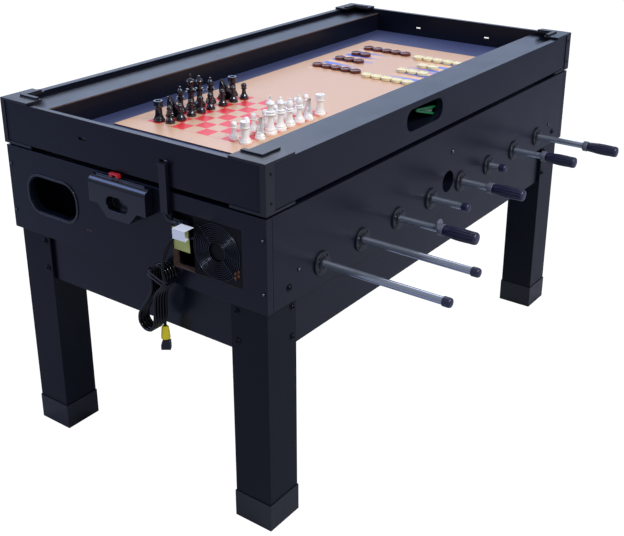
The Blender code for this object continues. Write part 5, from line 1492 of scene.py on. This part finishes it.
def chess_pattern(kind, height, radius):
    """One chess man standing at the origin, its front towards +Y."""
    shape = turned([(radius * r, height * h) for r, h in CHESS_PROFILES[kind]], 28)
    if kind == "rook":
        for turn in range(4):
            notch = cuboid(shape, (radius * 0.40, radius * 0.80),
                           (-radius * 0.13, radius * 0.13), (height * 0.90, height * 1.001))
            bmesh.ops.rotate(shape, verts=notch, cent=(0, 0, 0),
                             matrix=Matrix.Rotation(math.pi / 4 + turn * math.pi / 2, 3, "Z"))
    elif kind == "knight":
        head = drawn([(radius * u, height * v) for u, v in HORSE], radius * 0.78,
                     at(0, 0, -radius * 0.39))
        ease(head, radius * 0.16, 3)
        stamp(shape, head, [Matrix.Rotation(math.pi / 2, 4, "Z")
                            @ Matrix.Rotation(math.pi / 2, 4, "X")])
    elif kind == "king":
        for x, z in (((-0.07, 0.07), (0.895, 1.0)), ((-0.19, 0.19), (0.935, 0.968))):
            cuboid(shape, (x[0] * radius, x[1] * radius), (-radius * 0.07, radius * 0.07),
                   (z[0] * height, z[1] * height))
    return shape


# How far the white knights are turned aside
KNIGHTS_ASIDE = math.radians(-40)


class TABLE_OT_chess_men(Operator):
    """Makes the 32 chess men in their opening places"""
    bl_idname = "table.chess_men"
    bl_label = "Chess men"

    def execute(self, context):
        sizes = context.scene.table_board
        for colour, side, slot in (("black", 1, "black_gloss"), ("white", -1, "white_plastic")):
            facing_turn = Matrix.Rotation(math.pi if side > 0 else 0, 4, "Z")
            aside = Matrix.Rotation(KNIGHTS_ASIDE if side < 0 else 0, 4, "Z")
            for kind, (high, wide) in CHESS_SHARES.items():
                row, rank, shifts = BACK_RANKS[colour], 7 / 2, BACK_SHIFTS[colour]
                if kind == "pawn":
                    row, rank, shifts = ("pawn",) * 8, 5 / 2, PAWN_SHIFTS[colour]
                turn = aside @ facing_turn if kind == "knight" else facing_turn
                places = [at(sizes.chess_x + (file - 7 / 2) * sizes.square + shifts[file][0] * MM,
                             side * rank * sizes.square + shifts[file][1] * MM, BOARD_TOP) @ turn
                          for file, name in enumerate(row) if name == kind]
                pattern = chess_pattern(kind, sizes.pawn_height * high,
                                        sizes.pawn_radius * wide)
                piece(f"{colour}_{kind}s", stamp(bmesh.new(), pattern, places),
                      f"{colour} polystyrene", "board", slot)
        return {"FINISHED"}


# A checker's ringed section: shares of its radius and of its height
CHECKER_SHARES = ((0, 0), (0.90, 0), (0.98, 0.10), (1.0, 0.22), (0.985, 0.36), (1.0, 0.50),
                  (0.985, 0.64), (1.0, 0.78), (0.98, 0.92), (0.90, 1.0), (0.80, 1.0),
                  (0.76, 0.88), (0.60, 0.86), (0.56, 0.94), (0.50, 0.94), (0.46, 0.86),
                  (0.20, 0.86), (0, 0.88))
# Place of a row along the table, checkers in it, and how far its brown and its cream row start
# inwards, in checker pitches
CHECKER_ROWS = ((0.1622, 5, 0.0, 0.36), (0.2594, 3, 0.20, 0.79), (0.3320, 2, 0.36, 1.15),
                (0.4049, 5, 0.16, 0.0))
# Colour, shift of its rows along the table, where they start across it, and their way inwards
CHECKER_SIDES = (("brown", 0.007, 0.131, -1), ("cream", -0.007, -0.169, 1))
CHECKER_PITCH = 0.0305


class TABLE_OT_checkers(Operator):
    """Makes the 30 checkers in their opening rows"""
    bl_idname = "table.checkers"
    bl_label = "Checkers"

    def execute(self, context):
        sizes = context.scene.table_board
        profile = [(sizes.checker_radius * r, sizes.checker_height * h)
                   for r, h in CHECKER_SHARES]
        for column, (name, shift, start, way) in enumerate(CHECKER_SIDES):
            spots = [at(row[0] + shift, start + way * (index + row[2 + column]) * CHECKER_PITCH,
                        BOARD_TOP) for row in CHECKER_ROWS for index in range(row[1])]
            piece(f"{name}_checkers", stamp(bmesh.new(), turned(profile, 36), spots),
                  f"{name} checker plastic", "board", f"{name}_plastic")
        return {"FINISHED"}


class TABLE_PT_panel(Panel):
    """Lists the table's operators and settings"""
    bl_label = "Game Table"
    bl_idname = "TABLE_PT_panel"
    bl_space_type = "VIEW_3D"
    bl_region_type = "UI"
    bl_category = "Game Table"

    def draw(self, context):
        for step in STEPS:
            self.layout.operator(step.bl_idname)
        for group in GROUPS:
            settings = getattr(context.scene, group)
            for name in type(settings).__annotations__:
                self.layout.prop(settings, name)


GROUPS = {"table_colours": TableColours, "table_rods": RodSettings,
          "table_board": BoardSettings, "table_stage": StageSettings}
STEPS = (TABLE_OT_stage, TABLE_OT_cord, TABLE_OT_boards, TABLE_OT_bushings, TABLE_OT_rods,
         TABLE_OT_end_boxes, TABLE_OT_oval_trims, TABLE_OT_fan, TABLE_OT_power,
         TABLE_OT_upper_frame, TABLE_OT_screws, TABLE_OT_board, TABLE_OT_chess_men,
         TABLE_OT_checkers)
CLASSES = (*GROUPS.values(), *STEPS, TABLE_PT_panel)


def register():
    """Registers the classes and hangs the settings on the scene."""
    for one in CLASSES:
        bpy.utils.register_class(one)
    for name, group in GROUPS.items():
        setattr(bpy.types.Scene, name, PointerProperty(type=group))


def unregister():
    """Takes the settings and classes away again."""
    for name in GROUPS:
        delattr(bpy.types.Scene, name)
    for one in reversed(CLASSES):
        bpy.utils.unregister_class(one)


def main():
    """Makes every piece in order."""
    register()
    for step in STEPS:
        group, name = step.bl_idname.split(".")
        if getattr(getattr(bpy.ops, group), name)() != {"FINISHED"}:
            raise RuntimeError(f"{step.bl_label} did not finish")


if __name__ == "__main__":
    main()
